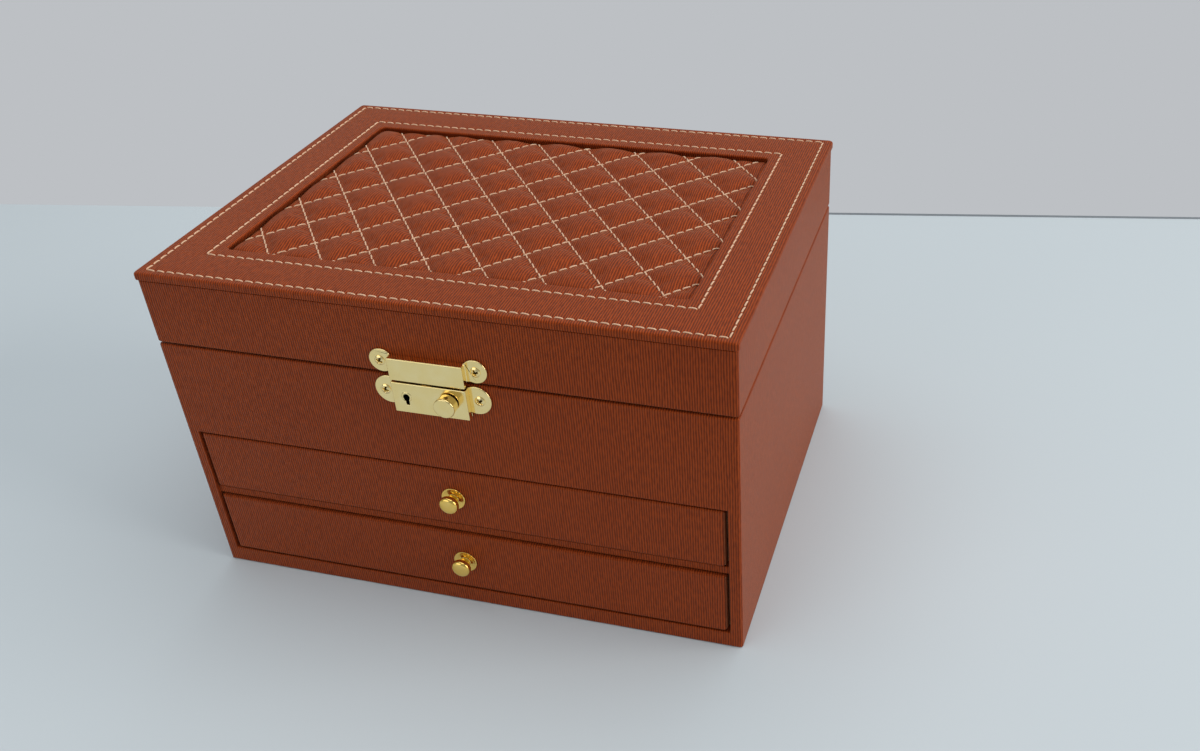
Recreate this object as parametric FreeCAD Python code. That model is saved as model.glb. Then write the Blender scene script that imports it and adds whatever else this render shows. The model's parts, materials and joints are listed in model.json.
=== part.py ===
import FreeCAD, Part
import math
import os

Vector = FreeCAD.Vector

# Case, over its leather, in millimetres: X to the right, -Y to the front, Z up from the table
CASE_WIDTH = 250.0
CASE_DEPTH = 188.0
BASE_HEIGHT = 120.0
LID_GAP = 0.9
LID_HEIGHT = 28.9
EDGE_RADIUS = 1.6
RIM_EASE = 0.5

# Sheet materials
LEATHER = 0.8
BOARD = 4.0
LINING = 0.6
FELT = 0.8
FELT_INSET = 1.6
SKIRT_LIFT = 0.3
RIM_TURN = 12.0
OPENING_TURN = 12.0

# Base, from the table up: bottom board, lower bay, shelf, upper bay, compartment floor
BOTTOM_BOARD = 6.5
LOWER_BAY = 32.8
SHELF = 3.8
SHELF_SETBACK = 1.2
UPPER_BAY = 30.7
FLOOR_BOARD = 3.0

# Top compartment
DIVIDER = 3.0
DIVIDER_DROP = 16.6
RING_BAY = 96.0
RING_ROLLS = 10
RING_ROLL_SIDE = 9.0
RING_ROLL_CROWN = 5.0
ROLL_GAP = 0.3

# Lid top: stitched frame with a window that holds the quilted pad
LID_PANEL = 3.0
TOP_FRAME_HEIGHT = 3.9
TOP_FRAME_OVERHANG = 0.65
TOP_FRAME_EDGE = 1.3
TOP_FRAME_SEAM = 0.8
WINDOW_BORDER_X = 25.15
WINDOW_BORDER_Y = 26.35
WINDOW_CORNER = 3.0
WINDOW_EDGE = 0.6
PAD_GAP = 0.2
PAD_CHANNEL = 1.5
PAD_CROWN = 1.4
QUILT_HALF_X = 12.65
QUILT_HALF_Y = 15.07
QUILT_SHIFT_Y = -2.9

# Mirror inside the lid
MIRROR_WIDTH = 170.0
MIRROR_DEPTH = 120.0
MIRROR_GLASS = 2.5

# Drawers
FRONT_GAP = 0.8
FRONT_CORNER = 2.0
FRONT_EDGE = 0.5
SLIDE_GAP = 0.3
DRAWER_SIDE = 3.0
DRAWER_BOTTOM = 2.5
DRAWER_HEADROOM = 5.0
DRAWER_REAR_GAP = 3.0
LINING_DROP = 1.0
UPPER_COMPARTMENTS = 3
LOWER_COMPARTMENTS = 2

# Turned brass drawer knobs, each on a screw from inside
KNOB_FLANGE = 10.7
KNOB_FLANGE_EDGE = 0.5
KNOB_NECK = 4.4
KNOB_NECK_LENGTH = 2.8
KNOB_DISH = 1.2
KNOB_HEAD = 8.4
KNOB_HEAD_LENGTH = 3.4
KNOB_HEAD_ROUND = 0.8
KNOB_SCREW = 2.9
KNOB_SCREW_DEPTH = 4.5
KNOB_SCREW_HEAD = 5.6
KNOB_SCREW_HEAD_HEIGHT = 1.8
SCREW_CLEARANCE = 0.05

# Lock: a hasp on the lid and a lock on the base, pressed from brass sheet
LOCK_PLATE = 1.0
LOCK_RAISE = 3.8
LOCK_SHEET = 0.8
LOCK_COVER_WIDTH = 32.2
LOCK_COVER_HEIGHT = 14.0
LOCK_COVER_DROP = 0.95
LOCK_EAR_RADIUS = 6.5
LOCK_EAR_DROP = 6.7
LOCK_REACH = 50.4
HASP_HEIGHT = 9.4
HASP_LAP = 0.25
HASP_EAR_RADIUS = 5.3
HASP_EAR_RISE = 6.0
COVER_EDGE = 0.4
EAR_SCREW_SPACING = 40.8
EAR_SCREW = 2.0
EAR_SCREW_HEAD = 4.4
EAR_SCREW_RISE = 0.7
SCREW_COVER = 0.8
SHANK_SIDES = 8

# Latch bolt, its knob, the hasp's tongue and the lever that the key turns
PLAY = 0.4
BOLT_GAP = 0.3
BOLT_TRAVEL = 3.2
BOLT_NOSE = 2.0
BOLT_NOSE_LENGTH = 3.1
BOLT_BODY_WIDTH = 8.0
BOLT_BODY_HEIGHT = 6.0
BOLT_ARM = 3.2
LATCH_X = 8.2
LATCH_KNOB = 8.9
LATCH_KNOB_LENGTH = 4.3
LATCH_KNOB_ROUND = 0.8
LATCH_STEM = 2.4
TONGUE_LEFT = -4.0
TONGUE_WIDTH = 5.0
TONGUE_SHEET = 1.0
TONGUE_GAP = 0.6
TONGUE_LENGTH = 10.25
TONGUE_NOTCH = 3.0
KEYHOLE_X = -10.0
KEYHOLE_DROP = 7.2
KEYHOLE_ROUND = 2.4
KEYHOLE_SLOT = 1.4
KEYHOLE_LENGTH = 4.0
KEYHOLE_RING = 4.4
KEYHOLE_RING_HEIGHT = 0.25
KEY_POST = 1.4
LEVER_HUB = 3.6
LEVER_LENGTH = 4.6
LEVER_WIDTH = 1.6
RUNNING_CLEARANCE = 0.05

# Butt hinges on the back
HINGE_SPACING = 150.0
HINGE_LENGTH = 28.0
HINGE_LEAF = 0.9
HINGE_LEAF_HEIGHT = 15.0
KNUCKLE_RADIUS = 2.2
KNUCKLE_COUNT = 3
KNUCKLE_GAP = 0.3
HINGE_PIN = 1.8
HINGE_OFFSET = 2.6
HINGE_SCREW_SPACING = 16.0
HINGE_SCREW = 1.6
HINGE_SCREW_HEAD = 3.4
HINGE_SCREW_RISE = 0.5

# Places worked out from the sizes above
HALF_WIDTH = CASE_WIDTH / 2
HALF_DEPTH = CASE_DEPTH / 2
BOARD_X = HALF_WIDTH - LEATHER
BOARD_Y = HALF_DEPTH - LEATHER
INNER_X = BOARD_X - BOARD
INNER_Y = BOARD_Y - BOARD
CLEAR_X = INNER_X - LINING
CLEAR_Y = INNER_Y - LINING
BOTTOM_TOP = FELT + BOTTOM_BOARD
BAY_LOW = BOTTOM_TOP + LINING
SHELF_LOW = BAY_LOW + LOWER_BAY
SHELF_HIGH = SHELF_LOW + SHELF
BAY_HIGH = SHELF_HIGH + UPPER_BAY
FLOOR_LOW = BAY_HIGH + LINING
FLOOR_TOP = FLOOR_LOW + FLOOR_BOARD
WALL_TOP = BASE_HEIGHT - LEATHER
LID_LOW = BASE_HEIGHT + LID_GAP
LID_TOP = LID_LOW + LID_HEIGHT
FRAME_TOP = LID_TOP + TOP_FRAME_HEIGHT
PANEL_LOW = LID_TOP - LID_PANEL
HINGE_Y = HALF_DEPTH + HINGE_OFFSET
HINGE_Z = BASE_HEIGHT + LID_GAP / 2
LOCK_TOP = BASE_HEIGHT - LOCK_COVER_DROP
LOCK_LOW = LOCK_TOP - LOCK_COVER_HEIGHT
LOCK_EAR_Z = BASE_HEIGHT - LOCK_EAR_DROP
HASP_LOW = LID_LOW - HASP_LAP
HASP_TOP = HASP_LOW + HASP_HEIGHT
HASP_EAR_Z = LID_LOW + HASP_EAR_RISE
KEYHOLE_Z = BASE_HEIGHT - KEYHOLE_DROP
# The bolt lies between the lock's plate and the front of its cover
BOLT_BACK = LOCK_PLATE + BOLT_GAP
BOLT_FRONT = LOCK_RAISE - LOCK_SHEET - BOLT_GAP
TONGUE_FRONT = LOCK_RAISE - LOCK_SHEET - TONGUE_GAP
TONGUE_RIGHT = TONGUE_LEFT + TONGUE_WIDTH
TONGUE_LOW = HASP_LOW - TONGUE_LENGTH
BOLT_BODY_LEFT = TONGUE_RIGHT + PLAY + BOLT_TRAVEL
BOLT_Z = KEYHOLE_Z


def box(x0, x1, y0, y1, z0, z1):
    """Block between two corners."""
    return Part.makeBox(x1 - x0, y1 - y0, z1 - z0, Vector(x0, y0, z0))


def block(half_x, half_y, z0, z1):
    """Block centred on the case's upright axis."""
    return box(-half_x, half_x, -half_y, half_y, z0, z1)


def front_box(x0, x1, out0, out1, z0, z1):
    """Block on the front, from out0 to out1 proud of the leather."""
    return box(x0, x1, -HALF_DEPTH - out1, -HALF_DEPTH - out0, z0, z1)


def front_rod(x, z, radius, out0, out1):
    """Round rod that stands out of the front at x and z."""
    start = Vector(x, -HALF_DEPTH - out0, z)
    return Part.makeCylinder(radius, out1 - out0, start, Vector(0, -1, 0))


def rounded_prism(half_x, half_y, z0, z1, radius):
    """Upright prism with a rounded-rectangle plan."""
    flat_x = half_x - radius
    flat_y = half_y - radius
    bow = radius * math.sqrt(0.5)
    corners = []
    for sx, sy, first_x in ((1, 1, True), (-1, 1, False), (-1, -1, True), (1, -1, False)):
        along_x = Vector(sx * half_x, sy * flat_y, z0)
        along_y = Vector(sx * flat_x, sy * half_y, z0)
        middle = Vector(sx * (flat_x + bow), sy * (flat_y + bow), z0)
        corners.append((along_x, middle, along_y) if first_x else (along_y, middle, along_x))
    edges = []
    for corner, following in zip(corners, corners[1:] + corners[:1]):
        edges.append(Part.Arc(*corner).toShape())
        edges.append(Part.makeLine(corner[2], following[0]))
    return Part.Face(Part.Wire(edges)).extrude(Vector(0, 0, z1 - z0))


def chosen_edges(shape, wanted):
    """Edges whose two ends both answer the test given."""
    chosen = []
    for edge in shape.Edges:
        ends = [edge.valueAt(edge.FirstParameter), edge.valueAt(edge.LastParameter)]
        if all(wanted(point) for point in ends):
            chosen.append(edge)
    return chosen


def round_edges(shape, radius, wanted):
    """Fillet on the edges that answer the test."""
    return shape.makeFillet(radius, chosen_edges(shape, wanted))


def ease_edges(shape, width, wanted):
    """Narrow bevel, where leather is folded over, on the edges that answer the test."""
    return shape.makeChamfer(width, chosen_edges(shape, wanted))


def at(value, target):
    """True where a coordinate is on a face."""
    return abs(value - target) < 1e-4


def turned(points, origin, outward):
    """Solid of revolution from (radius, height) points about a line through its origin."""
    spots = [origin + Vector(0, 0, radius) + outward * height for radius, height in points]
    return Part.Face(Part.makePolygon(spots + spots[:1])).revolve(origin, outward, 360)


def cut_all(shape, tools):
    """Shape with every tool cut away."""
    return shape.cut(Part.Compound(list(tools)))


def save(name, shape):
    """Write one piece; a group of like pieces is one compound."""
    if isinstance(shape, list):
        shape = Part.Compound(shape)
    elif shape.ShapeType == "Compound" and len(shape.Solids) == 1:
        shape = shape.Solids[0]
    shape.exportStep(f"parts/{name}.step")


def shank_core(origin, outward, across, length):
    """Eight-sided core that stands for a screw's threaded shank, running in from its head."""
    radius = across / 2
    rim = []
    for index in range(SHANK_SIDES + 1):
        turn = 2 * math.pi * (index + 0.5) / SHANK_SIDES
        rim.append(origin + Vector(radius * math.cos(turn), 0, radius * math.sin(turn)))
    return Part.Face(Part.makePolygon(rim)).extrude(outward * -length)


def screw(origin, outward, shank, head, head_height, length):
    """Screw with a round head that seats at its origin."""
    cap = Part.makeCylinder(head / 2, head_height, origin, outward)
    return cap.fuse(shank_core(origin, outward, shank, length)).removeSplitter()


FORWARD = Vector(0, -1, 0)
REARWARD = Vector(0, 1, 0)
EAR_SCREW_LENGTH = LOCK_PLATE + LEATHER + BOARD - SCREW_COVER
HINGE_SCREW_LENGTH = HINGE_LEAF + LEATHER + BOARD - SCREW_COVER
HINGE_CENTRES = (-HINGE_SPACING / 2, HINGE_SPACING / 2)
HINGE_BASE_SCREW_Z = HINGE_Z - (HINGE_LEAF_HEIGHT + KNUCKLE_RADIUS) / 2
HINGE_LID_SCREW_Z = HINGE_Z + (HINGE_LEAF_HEIGHT + KNUCKLE_RADIUS) / 2


def ear_screw_spots(z):
    """Seats of the two ear screws at one height, on the face of their plate."""
    return [Vector(side * EAR_SCREW_SPACING / 2, -HALF_DEPTH - LOCK_PLATE, z) for side in (-1, 1)]


def hinge_screw_spots(z):
    """Seats of the hinge screws at one height, on the face of their leaves."""
    return [
        Vector(centre + side * HINGE_SCREW_SPACING / 2, HALF_DEPTH + HINGE_LEAF, z)
        for centre in HINGE_CENTRES
        for side in (-1, 1)
    ]


def pilot_holes(spots, outward, shank, length):
    """Holes that the screws' shanks fill with a little clearance."""
    across = shank + 2 * SCREW_CLEARANCE
    return [shank_core(spot, outward, across, length + SCREW_CLEARANCE) for spot in spots]


LOCK_PILOTS = pilot_holes(ear_screw_spots(LOCK_EAR_Z), FORWARD, EAR_SCREW, EAR_SCREW_LENGTH)
HASP_PILOTS = pilot_holes(ear_screw_spots(HASP_EAR_Z), FORWARD, EAR_SCREW, EAR_SCREW_LENGTH)
HINGE_BASE_SPOTS = hinge_screw_spots(HINGE_BASE_SCREW_Z)
HINGE_LID_SPOTS = hinge_screw_spots(HINGE_LID_SCREW_Z)
HINGE_BASE_PILOTS = pilot_holes(HINGE_BASE_SPOTS, REARWARD, HINGE_SCREW, HINGE_SCREW_LENGTH)
HINGE_LID_PILOTS = pilot_holes(HINGE_LID_SPOTS, REARWARD, HINGE_SCREW, HINGE_SCREW_LENGTH)


def turned_lip(z0, z1):
    """Leather turned over a rim and down the inside of its boards."""
    return block(INNER_X, INNER_Y, z0, z1).cut(block(CLEAR_X, CLEAR_Y, z0, z1))


def make_carcase():
    """MDF boards of the base, the felt under it and the linings of its drawer bays."""
    save("base_felt", block(HALF_WIDTH - FELT_INSET, HALF_DEPTH - FELT_INSET, 0, FELT))
    save("bottom_board", block(BOARD_X, BOARD_Y, FELT, BOTTOM_TOP))
    save("left_side_board", box(-BOARD_X, -INNER_X, -BOARD_Y, BOARD_Y, BOTTOM_TOP, WALL_TOP))
    save("right_side_board", box(INNER_X, BOARD_X, -BOARD_Y, BOARD_Y, BOTTOM_TOP, WALL_TOP))
    back = box(-INNER_X, INNER_X, INNER_Y, BOARD_Y, BOTTOM_TOP, WALL_TOP)
    save("back_board", cut_all(back, HINGE_BASE_PILOTS))
    rail = box(-INNER_X, INNER_X, -BOARD_Y, -INNER_Y, FLOOR_LOW, WALL_TOP)
    save("front_rail_board", cut_all(rail, LOCK_PILOTS))
    save("compartment_floor", block(INNER_X, INNER_Y, FLOOR_LOW, FLOOR_TOP))
    turn_end = -HALF_DEPTH + OPENING_TURN
    save("bay_floor_lining", box(-INNER_X, INNER_X, turn_end, INNER_Y, BOTTOM_TOP, BAY_LOW))


def make_shelf():
    """Shelf between the drawers, wrapped in leather whose front edge shows."""
    low = SHELF_LOW + LINING
    high = SHELF_HIGH - LINING
    front = -HALF_DEPTH + SHELF_SETBACK
    turn_end = -HALF_DEPTH + OPENING_TURN
    nose = box(-CLEAR_X, CLEAR_X, front + LEATHER, turn_end, low, high)
    tail = box(-INNER_X, INNER_X, turn_end, INNER_Y, low, high)
    save("drawer_shelf", nose.fuse(tail).removeSplitter())
    wrap = box(-CLEAR_X, CLEAR_X, front, INNER_Y, SHELF_LOW, SHELF_HIGH)
    wrap = round_edges(
        wrap, FRONT_EDGE, lambda p: at(p.y, front) and (at(p.z, SHELF_LOW) or at(p.z, SHELF_HIGH))
    )
    save("shelf_leather", wrap.cut(box(-CLEAR_X, CLEAR_X, front + LEATHER, INNER_Y, low, high)))


def make_body_leather():
    """One leather skin round the base, turned in at the rim and round the drawer opening."""
    skin = rounded_prism(HALF_WIDTH, HALF_DEPTH, SKIRT_LIFT, BASE_HEIGHT, EDGE_RADIUS)
    skin = ease_edges(skin, RIM_EASE, lambda p: at(p.z, BASE_HEIGHT))
    skin = skin.cut(block(BOARD_X, BOARD_Y, SKIRT_LIFT, WALL_TOP))
    skin = skin.fuse(turned_lip(BASE_HEIGHT - RIM_TURN, WALL_TOP))
    skin = skin.cut(block(CLEAR_X, CLEAR_Y, BASE_HEIGHT - RIM_TURN, BASE_HEIGHT))
    turn_end = -HALF_DEPTH + OPENING_TURN
    surround = box(-INNER_X, INNER_X, -HALF_DEPTH, turn_end, BAY_LOW - LINING, BAY_HIGH + LINING)
    skin = skin.fuse(surround)
    skin = skin.cut(box(-CLEAR_X, CLEAR_X, -HALF_DEPTH, turn_end, BAY_LOW, BAY_HIGH)).removeSplitter()
    skin = round_edges(
        skin,
        FRONT_EDGE,
        lambda p: at(p.y, -HALF_DEPTH) and abs(p.x) < CLEAR_X + LINING / 2 and p.z > SKIRT_LIFT + LEATHER
        and p.z < BAY_HIGH + LINING / 2,
    )
    save("body_leather", cut_all(skin, LOCK_PILOTS + HINGE_BASE_PILOTS))


def make_compartment():
    """Velvet tray in the top of the base: lining, dividers and a row of ring rolls."""
    lip_low = BASE_HEIGHT - RIM_TURN
    tray = block(INNER_X, INNER_Y, FLOOR_TOP, lip_low)
    floor = FLOOR_TOP + LINING
    save("compartment_lining", tray.cut(block(CLEAR_X, CLEAR_Y, floor, lip_low)))
    bay_right = -CLEAR_X + RING_BAY
    tops = BASE_HEIGHT - DIVIDER_DROP
    save("ring_bay_divider", box(bay_right, bay_right + DIVIDER, -CLEAR_Y, CLEAR_Y, floor, tops))
    tray_left = bay_right + DIVIDER
    tray_middle = (tray_left + CLEAR_X) / 2
    half = DIVIDER / 2
    long_divider = box(tray_left, CLEAR_X, -half, half, floor, tops)
    short_divider = box(tray_middle - half, tray_middle + half, half, CLEAR_Y, floor, tops)
    save("tray_dividers", [long_divider, short_divider])
    pitch = 2 * CLEAR_Y / RING_ROLLS
    side = floor + RING_ROLL_SIDE
    rolls = []
    for index in range(RING_ROLLS):
        near = -CLEAR_Y + index * pitch + ROLL_GAP / 2
        far = near + pitch - ROLL_GAP
        start = -CLEAR_X + ROLL_GAP
        corners = [Vector(start, near, side), Vector(start, near, floor)]
        corners += [Vector(start, far, floor), Vector(start, far, side)]
        crown = Vector(start, (near + far) / 2, side + RING_ROLL_CROWN)
        outline = [Part.makeLine(a, b) for a, b in zip(corners, corners[1:])]
        outline.append(Part.Arc(corners[3], crown, corners[0]).toShape())
        rolls.append(Part.Face(Part.Wire(outline)).extrude(Vector(RING_BAY - 2 * ROLL_GAP, 0, 0)))
    save("ring_rolls", rolls)


def make_lid():
    """MDF lid with its leather walls, velvet inside and mirror."""
    walls = LID_LOW + LEATHER
    front = box(-BOARD_X, BOARD_X, -BOARD_Y, -INNER_Y, walls, LID_TOP)
    save("lid_front_board", cut_all(front, HASP_PILOTS))
    back = box(-BOARD_X, BOARD_X, INNER_Y, BOARD_Y, walls, LID_TOP)
    save("lid_back_board", cut_all(back, HINGE_LID_PILOTS))
    save("lid_left_board", box(-BOARD_X, -INNER_X, -INNER_Y, INNER_Y, walls, LID_TOP))
    save("lid_right_board", box(INNER_X, BOARD_X, -INNER_Y, INNER_Y, walls, LID_TOP))
    save("lid_panel", block(INNER_X, INNER_Y, PANEL_LOW, LID_TOP))
    skin = rounded_prism(HALF_WIDTH, HALF_DEPTH, LID_LOW, LID_TOP, EDGE_RADIUS)
    skin = ease_edges(skin, RIM_EASE, lambda p: at(p.z, LID_LOW))
    skin = skin.cut(block(BOARD_X, BOARD_Y, walls, LID_TOP))
    lip_top = LID_LOW + RIM_TURN
    skin = skin.fuse(turned_lip(walls, lip_top)).cut(block(CLEAR_X, CLEAR_Y, LID_LOW, lip_top))
    save("lid_leather", cut_all(skin.removeSplitter(), HASP_PILOTS + HINGE_LID_PILOTS))
    ceiling = PANEL_LOW - LINING
    lining = block(INNER_X, INNER_Y, lip_top, PANEL_LOW)
    save("lid_lining", lining.cut(block(CLEAR_X, CLEAR_Y, lip_top, ceiling)))
    save("mirror", block(MIRROR_WIDTH / 2, MIRROR_DEPTH / 2, ceiling - MIRROR_GLASS, ceiling))


def make_top_frame():
    """Leather-covered frame glued on the lid, with a window for the pad."""
    half_x = HALF_WIDTH + TOP_FRAME_OVERHANG
    half_y = HALF_DEPTH + TOP_FRAME_OVERHANG
    window_x = half_x - WINDOW_BORDER_X
    window_y = half_y - WINDOW_BORDER_Y
    skin = rounded_prism(half_x, half_y, LID_TOP, FRAME_TOP, EDGE_RADIUS)
    skin = round_edges(skin, TOP_FRAME_EDGE, lambda p: at(p.z, FRAME_TOP))
    skin = ease_edges(skin, TOP_FRAME_SEAM, lambda p: at(p.z, LID_TOP))
    skin = skin.cut(rounded_prism(window_x, window_y, LID_TOP, FRAME_TOP, WINDOW_CORNER))
    inside_x = window_x + WINDOW_EDGE
    inside_y = window_y + WINDOW_EDGE
    skin = ease_edges(
        skin, WINDOW_EDGE, lambda p: at(p.z, FRAME_TOP) and abs(p.x) < inside_x and abs(p.y) < inside_y
    )
    core_top = FRAME_TOP - LEATHER
    core = block(half_x - LEATHER - TOP_FRAME_SEAM, half_y - LEATHER - TOP_FRAME_SEAM, LID_TOP, core_top)
    hole = rounded_prism(window_x + LEATHER, window_y + LEATHER, LID_TOP, core_top, WINDOW_CORNER + LEATHER)
    core = core.cut(hole)
    save("top_frame_board", core)
    save("top_frame_leather", skin.cut(core))
    pad_x = window_x - PAD_GAP
    pad_y = window_y - PAD_GAP
    save("quilted_pad", quilted(pad_x, pad_y, LID_TOP))


def scalloped_slab(direction, base, reach):
    """Slab whose top is a row of shallow arches between sewn channels that run along one direction."""
    across = Vector(-direction.y, direction.x, 0)
    centre = Vector(0, QUILT_SHIFT_Y, base)
    pitch = 2 * QUILT_HALF_X * QUILT_HALF_Y / math.hypot(QUILT_HALF_X, QUILT_HALF_Y)
    count = math.ceil(reach / pitch) + 1
    channel = Vector(0, 0, PAD_CHANNEL)
    crown = Vector(0, 0, PAD_CHANNEL + PAD_CROWN)
    start = centre - direction * reach
    rows = [start + across * ((index - 0.5) * pitch) for index in range(-count, count + 2)]
    edges = [Part.makeLine(rows[-1], rows[0])]
    edges.append(Part.makeLine(rows[0], rows[0] + channel))
    for near, far in zip(rows, rows[1:]):
        middle = (near + far) / 2 + crown
        edges.append(Part.Arc(near + channel, middle, far + channel).toShape())
    edges.append(Part.makeLine(rows[-1] + channel, rows[-1]))
    return Part.Face(Part.Wire(edges)).extrude(direction * (2 * reach))


def quilted(half_x, half_y, base):
    """Pad sewn in diamonds: arches along both diagonals, trimmed to the window."""
    length = math.hypot(QUILT_HALF_X, QUILT_HALF_Y)
    rise = Vector(QUILT_HALF_X / length, QUILT_HALF_Y / length, 0)
    fall = Vector(-QUILT_HALF_X / length, QUILT_HALF_Y / length, 0)
    reach = math.hypot(half_x, half_y) + abs(QUILT_SHIFT_Y) + length
    arches = scalloped_slab(rise, base, reach).common(scalloped_slab(fall, base, reach))
    outline = rounded_prism(half_x, half_y, base, base + PAD_CHANNEL + PAD_CROWN, WINDOW_CORNER - PAD_GAP)
    return arches.common(outline)


def make_drawer(name, bay_low, bay_high, compartments):
    """One drawer: leather-wrapped front, board box, velvet inside, and a knob held by its screw."""
    half = CLEAR_X - FRONT_GAP
    low = bay_low + FRONT_GAP
    high = bay_high - FRONT_GAP
    knob_z = (low + high) / 2
    board_back = -BOARD_Y + BOARD
    shank_room = KNOB_SCREW + 2 * SCREW_CLEARANCE
    hole = shank_core(Vector(0, board_back, knob_z), REARWARD, shank_room, LEATHER + BOARD)
    plan = [
        Vector(-half, board_back, low),
        Vector(-half, -HALF_DEPTH + FRONT_CORNER, low),
        Vector(-half + FRONT_CORNER, -HALF_DEPTH, low),
        Vector(half - FRONT_CORNER, -HALF_DEPTH, low),
        Vector(half, -HALF_DEPTH + FRONT_CORNER, low),
        Vector(half, board_back, low),
    ]
    inset = FRONT_CORNER * (1 - math.sqrt(0.5))
    left_bend = Vector(-half + inset, -HALF_DEPTH + inset, low)
    right_bend = Vector(half - inset, -HALF_DEPTH + inset, low)
    outline = [
        Part.makeLine(plan[0], plan[1]),
        Part.Arc(plan[1], left_bend, plan[2]).toShape(),
        Part.makeLine(plan[2], plan[3]),
        Part.Arc(plan[3], right_bend, plan[4]).toShape(),
        Part.makeLine(plan[4], plan[5]),
        Part.makeLine(plan[5], plan[0]),
    ]
    skin = Part.Face(Part.Wire(outline)).extrude(Vector(0, 0, high - low))
    skin = ease_edges(
        skin, FRONT_EDGE, lambda p: (at(p.z, low) or at(p.z, high)) and p.y < board_back - FRONT_EDGE
    )
    board = box(-half + LEATHER, half - LEATHER, -BOARD_Y, board_back, low + LEATHER, high - LEATHER)
    save(f"{name}_front_board", board.cut(hole))
    save(f"{name}_front_leather", skin.cut(board).cut(hole))

    floor = bay_low + SLIDE_GAP
    top = bay_high - DRAWER_HEADROOM
    rear = INNER_Y - DRAWER_REAR_GAP
    inner = half - DRAWER_SIDE
    inside_back = rear - DRAWER_SIDE
    tray = floor + DRAWER_BOTTOM
    save(f"{name}_bottom", box(-half, half, board_back, rear, floor, tray))
    save(f"{name}_left_side", box(-half, -inner, board_back, rear, tray, top))
    save(f"{name}_right_side", box(inner, half, board_back, rear, tray, top))
    save(f"{name}_back", box(-inner, inner, inside_back, rear, tray, top))

    velvet_top = top - LINING_DROP
    velvet = box(-inner, inner, board_back, inside_back, tray, velvet_top)
    front_wall = board_back + LINING
    back_wall = inside_back - LINING
    side_wall = inner - LINING
    velvet_floor = tray + LINING
    velvet = velvet.cut(box(-side_wall, side_wall, front_wall, back_wall, velvet_floor, velvet_top))
    head_r = KNOB_SCREW_HEAD / 2
    head_room = front_rod(0, knob_z, head_r + 2 * LINING, -LEATHER - BOARD - LINING, -LEATHER - BOARD)
    save(f"{name}_lining", velvet.cut(head_room))
    step = 2 * side_wall / compartments
    divider_near = front_wall + KNOB_SCREW_HEAD_HEIGHT
    divider_top = velvet_top - LINING_DROP
    dividers = []
    for index in range(1, compartments):
        left = -side_wall + index * step - DIVIDER / 2
        dividers.append(box(left, left + DIVIDER, divider_near, back_wall, velvet_floor, divider_top))
    save(f"{name}_dividers", dividers)

    flange_r = KNOB_FLANGE / 2
    neck_r = KNOB_NECK / 2
    knob_r = KNOB_HEAD / 2
    neck_top = KNOB_FLANGE_EDGE + KNOB_NECK_LENGTH
    face = neck_top + KNOB_HEAD_LENGTH
    profile = [
        (0, 0),
        (flange_r, 0),
        (flange_r, KNOB_FLANGE_EDGE),
        (neck_r, KNOB_FLANGE_EDGE + KNOB_DISH),
        (neck_r, neck_top),
        (knob_r, neck_top),
        (knob_r, face - KNOB_HEAD_ROUND),
        (knob_r - KNOB_HEAD_ROUND, face),
        (0, face),
    ]
    origin = Vector(0, -HALF_DEPTH, knob_z)
    knob = turned(profile, origin, FORWARD)
    tap = shank_core(origin, REARWARD, shank_room, KNOB_SCREW_DEPTH + SCREW_CLEARANCE)
    save(f"{name}_knob", knob.cut(tap))
    seat = Vector(0, board_back, knob_z)
    shank = LEATHER + BOARD + KNOB_SCREW_DEPTH
    knob_screw = screw(seat, REARWARD, KNOB_SCREW, KNOB_SCREW_HEAD, KNOB_SCREW_HEAD_HEIGHT, shank)
    save(f"{name}_knob_screw", knob_screw)


def eared_plate(ear_radius, ear_z, cover_low, cover_high):
    """Flat plate behind a raised cover, with a round ear for a screw at each end."""
    half = LOCK_COVER_WIDTH / 2
    plate = front_box(-half, half, 0, LOCK_PLATE, cover_low, cover_high)
    ear_x = LOCK_REACH / 2 - ear_radius
    neck_low = max(cover_low, ear_z - ear_radius + COVER_EDGE)
    neck_high = min(cover_high, ear_z + ear_radius - COVER_EDGE)
    for side in (-1, 1):
        plate = plate.fuse(front_rod(side * ear_x, ear_z, ear_radius, 0, LOCK_PLATE))
        left, right = sorted((side * half, side * ear_x))
        if abs(ear_x) > half:
            plate = plate.fuse(front_box(left, right, 0, LOCK_PLATE, neck_low, neck_high))
    holes = pilot_holes(ear_screw_spots(ear_z), FORWARD, EAR_SCREW, LOCK_PLATE)
    return cut_all(plate.removeSplitter(), holes)


def raised_cover(low, high):
    """Pressed cover that stands out of its plate, hollow behind."""
    half = LOCK_COVER_WIDTH / 2
    cover = front_box(-half, half, LOCK_PLATE, LOCK_RAISE, low, high)
    cover = round_edges(cover, COVER_EDGE, lambda p: at(p.y, -HALF_DEPTH - LOCK_RAISE))
    inner = half - LOCK_SHEET
    ceiling = LOCK_RAISE - LOCK_SHEET
    return cover.cut(front_box(-inner, inner, LOCK_PLATE, ceiling, low + LOCK_SHEET, high - LOCK_SHEET))


def bolt_layer(x0, x1, z0, z1):
    """Block as thick as the bolt, in the space behind the lock's cover."""
    return front_box(x0, x1, BOLT_BACK, BOLT_FRONT, z0, z1)


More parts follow.
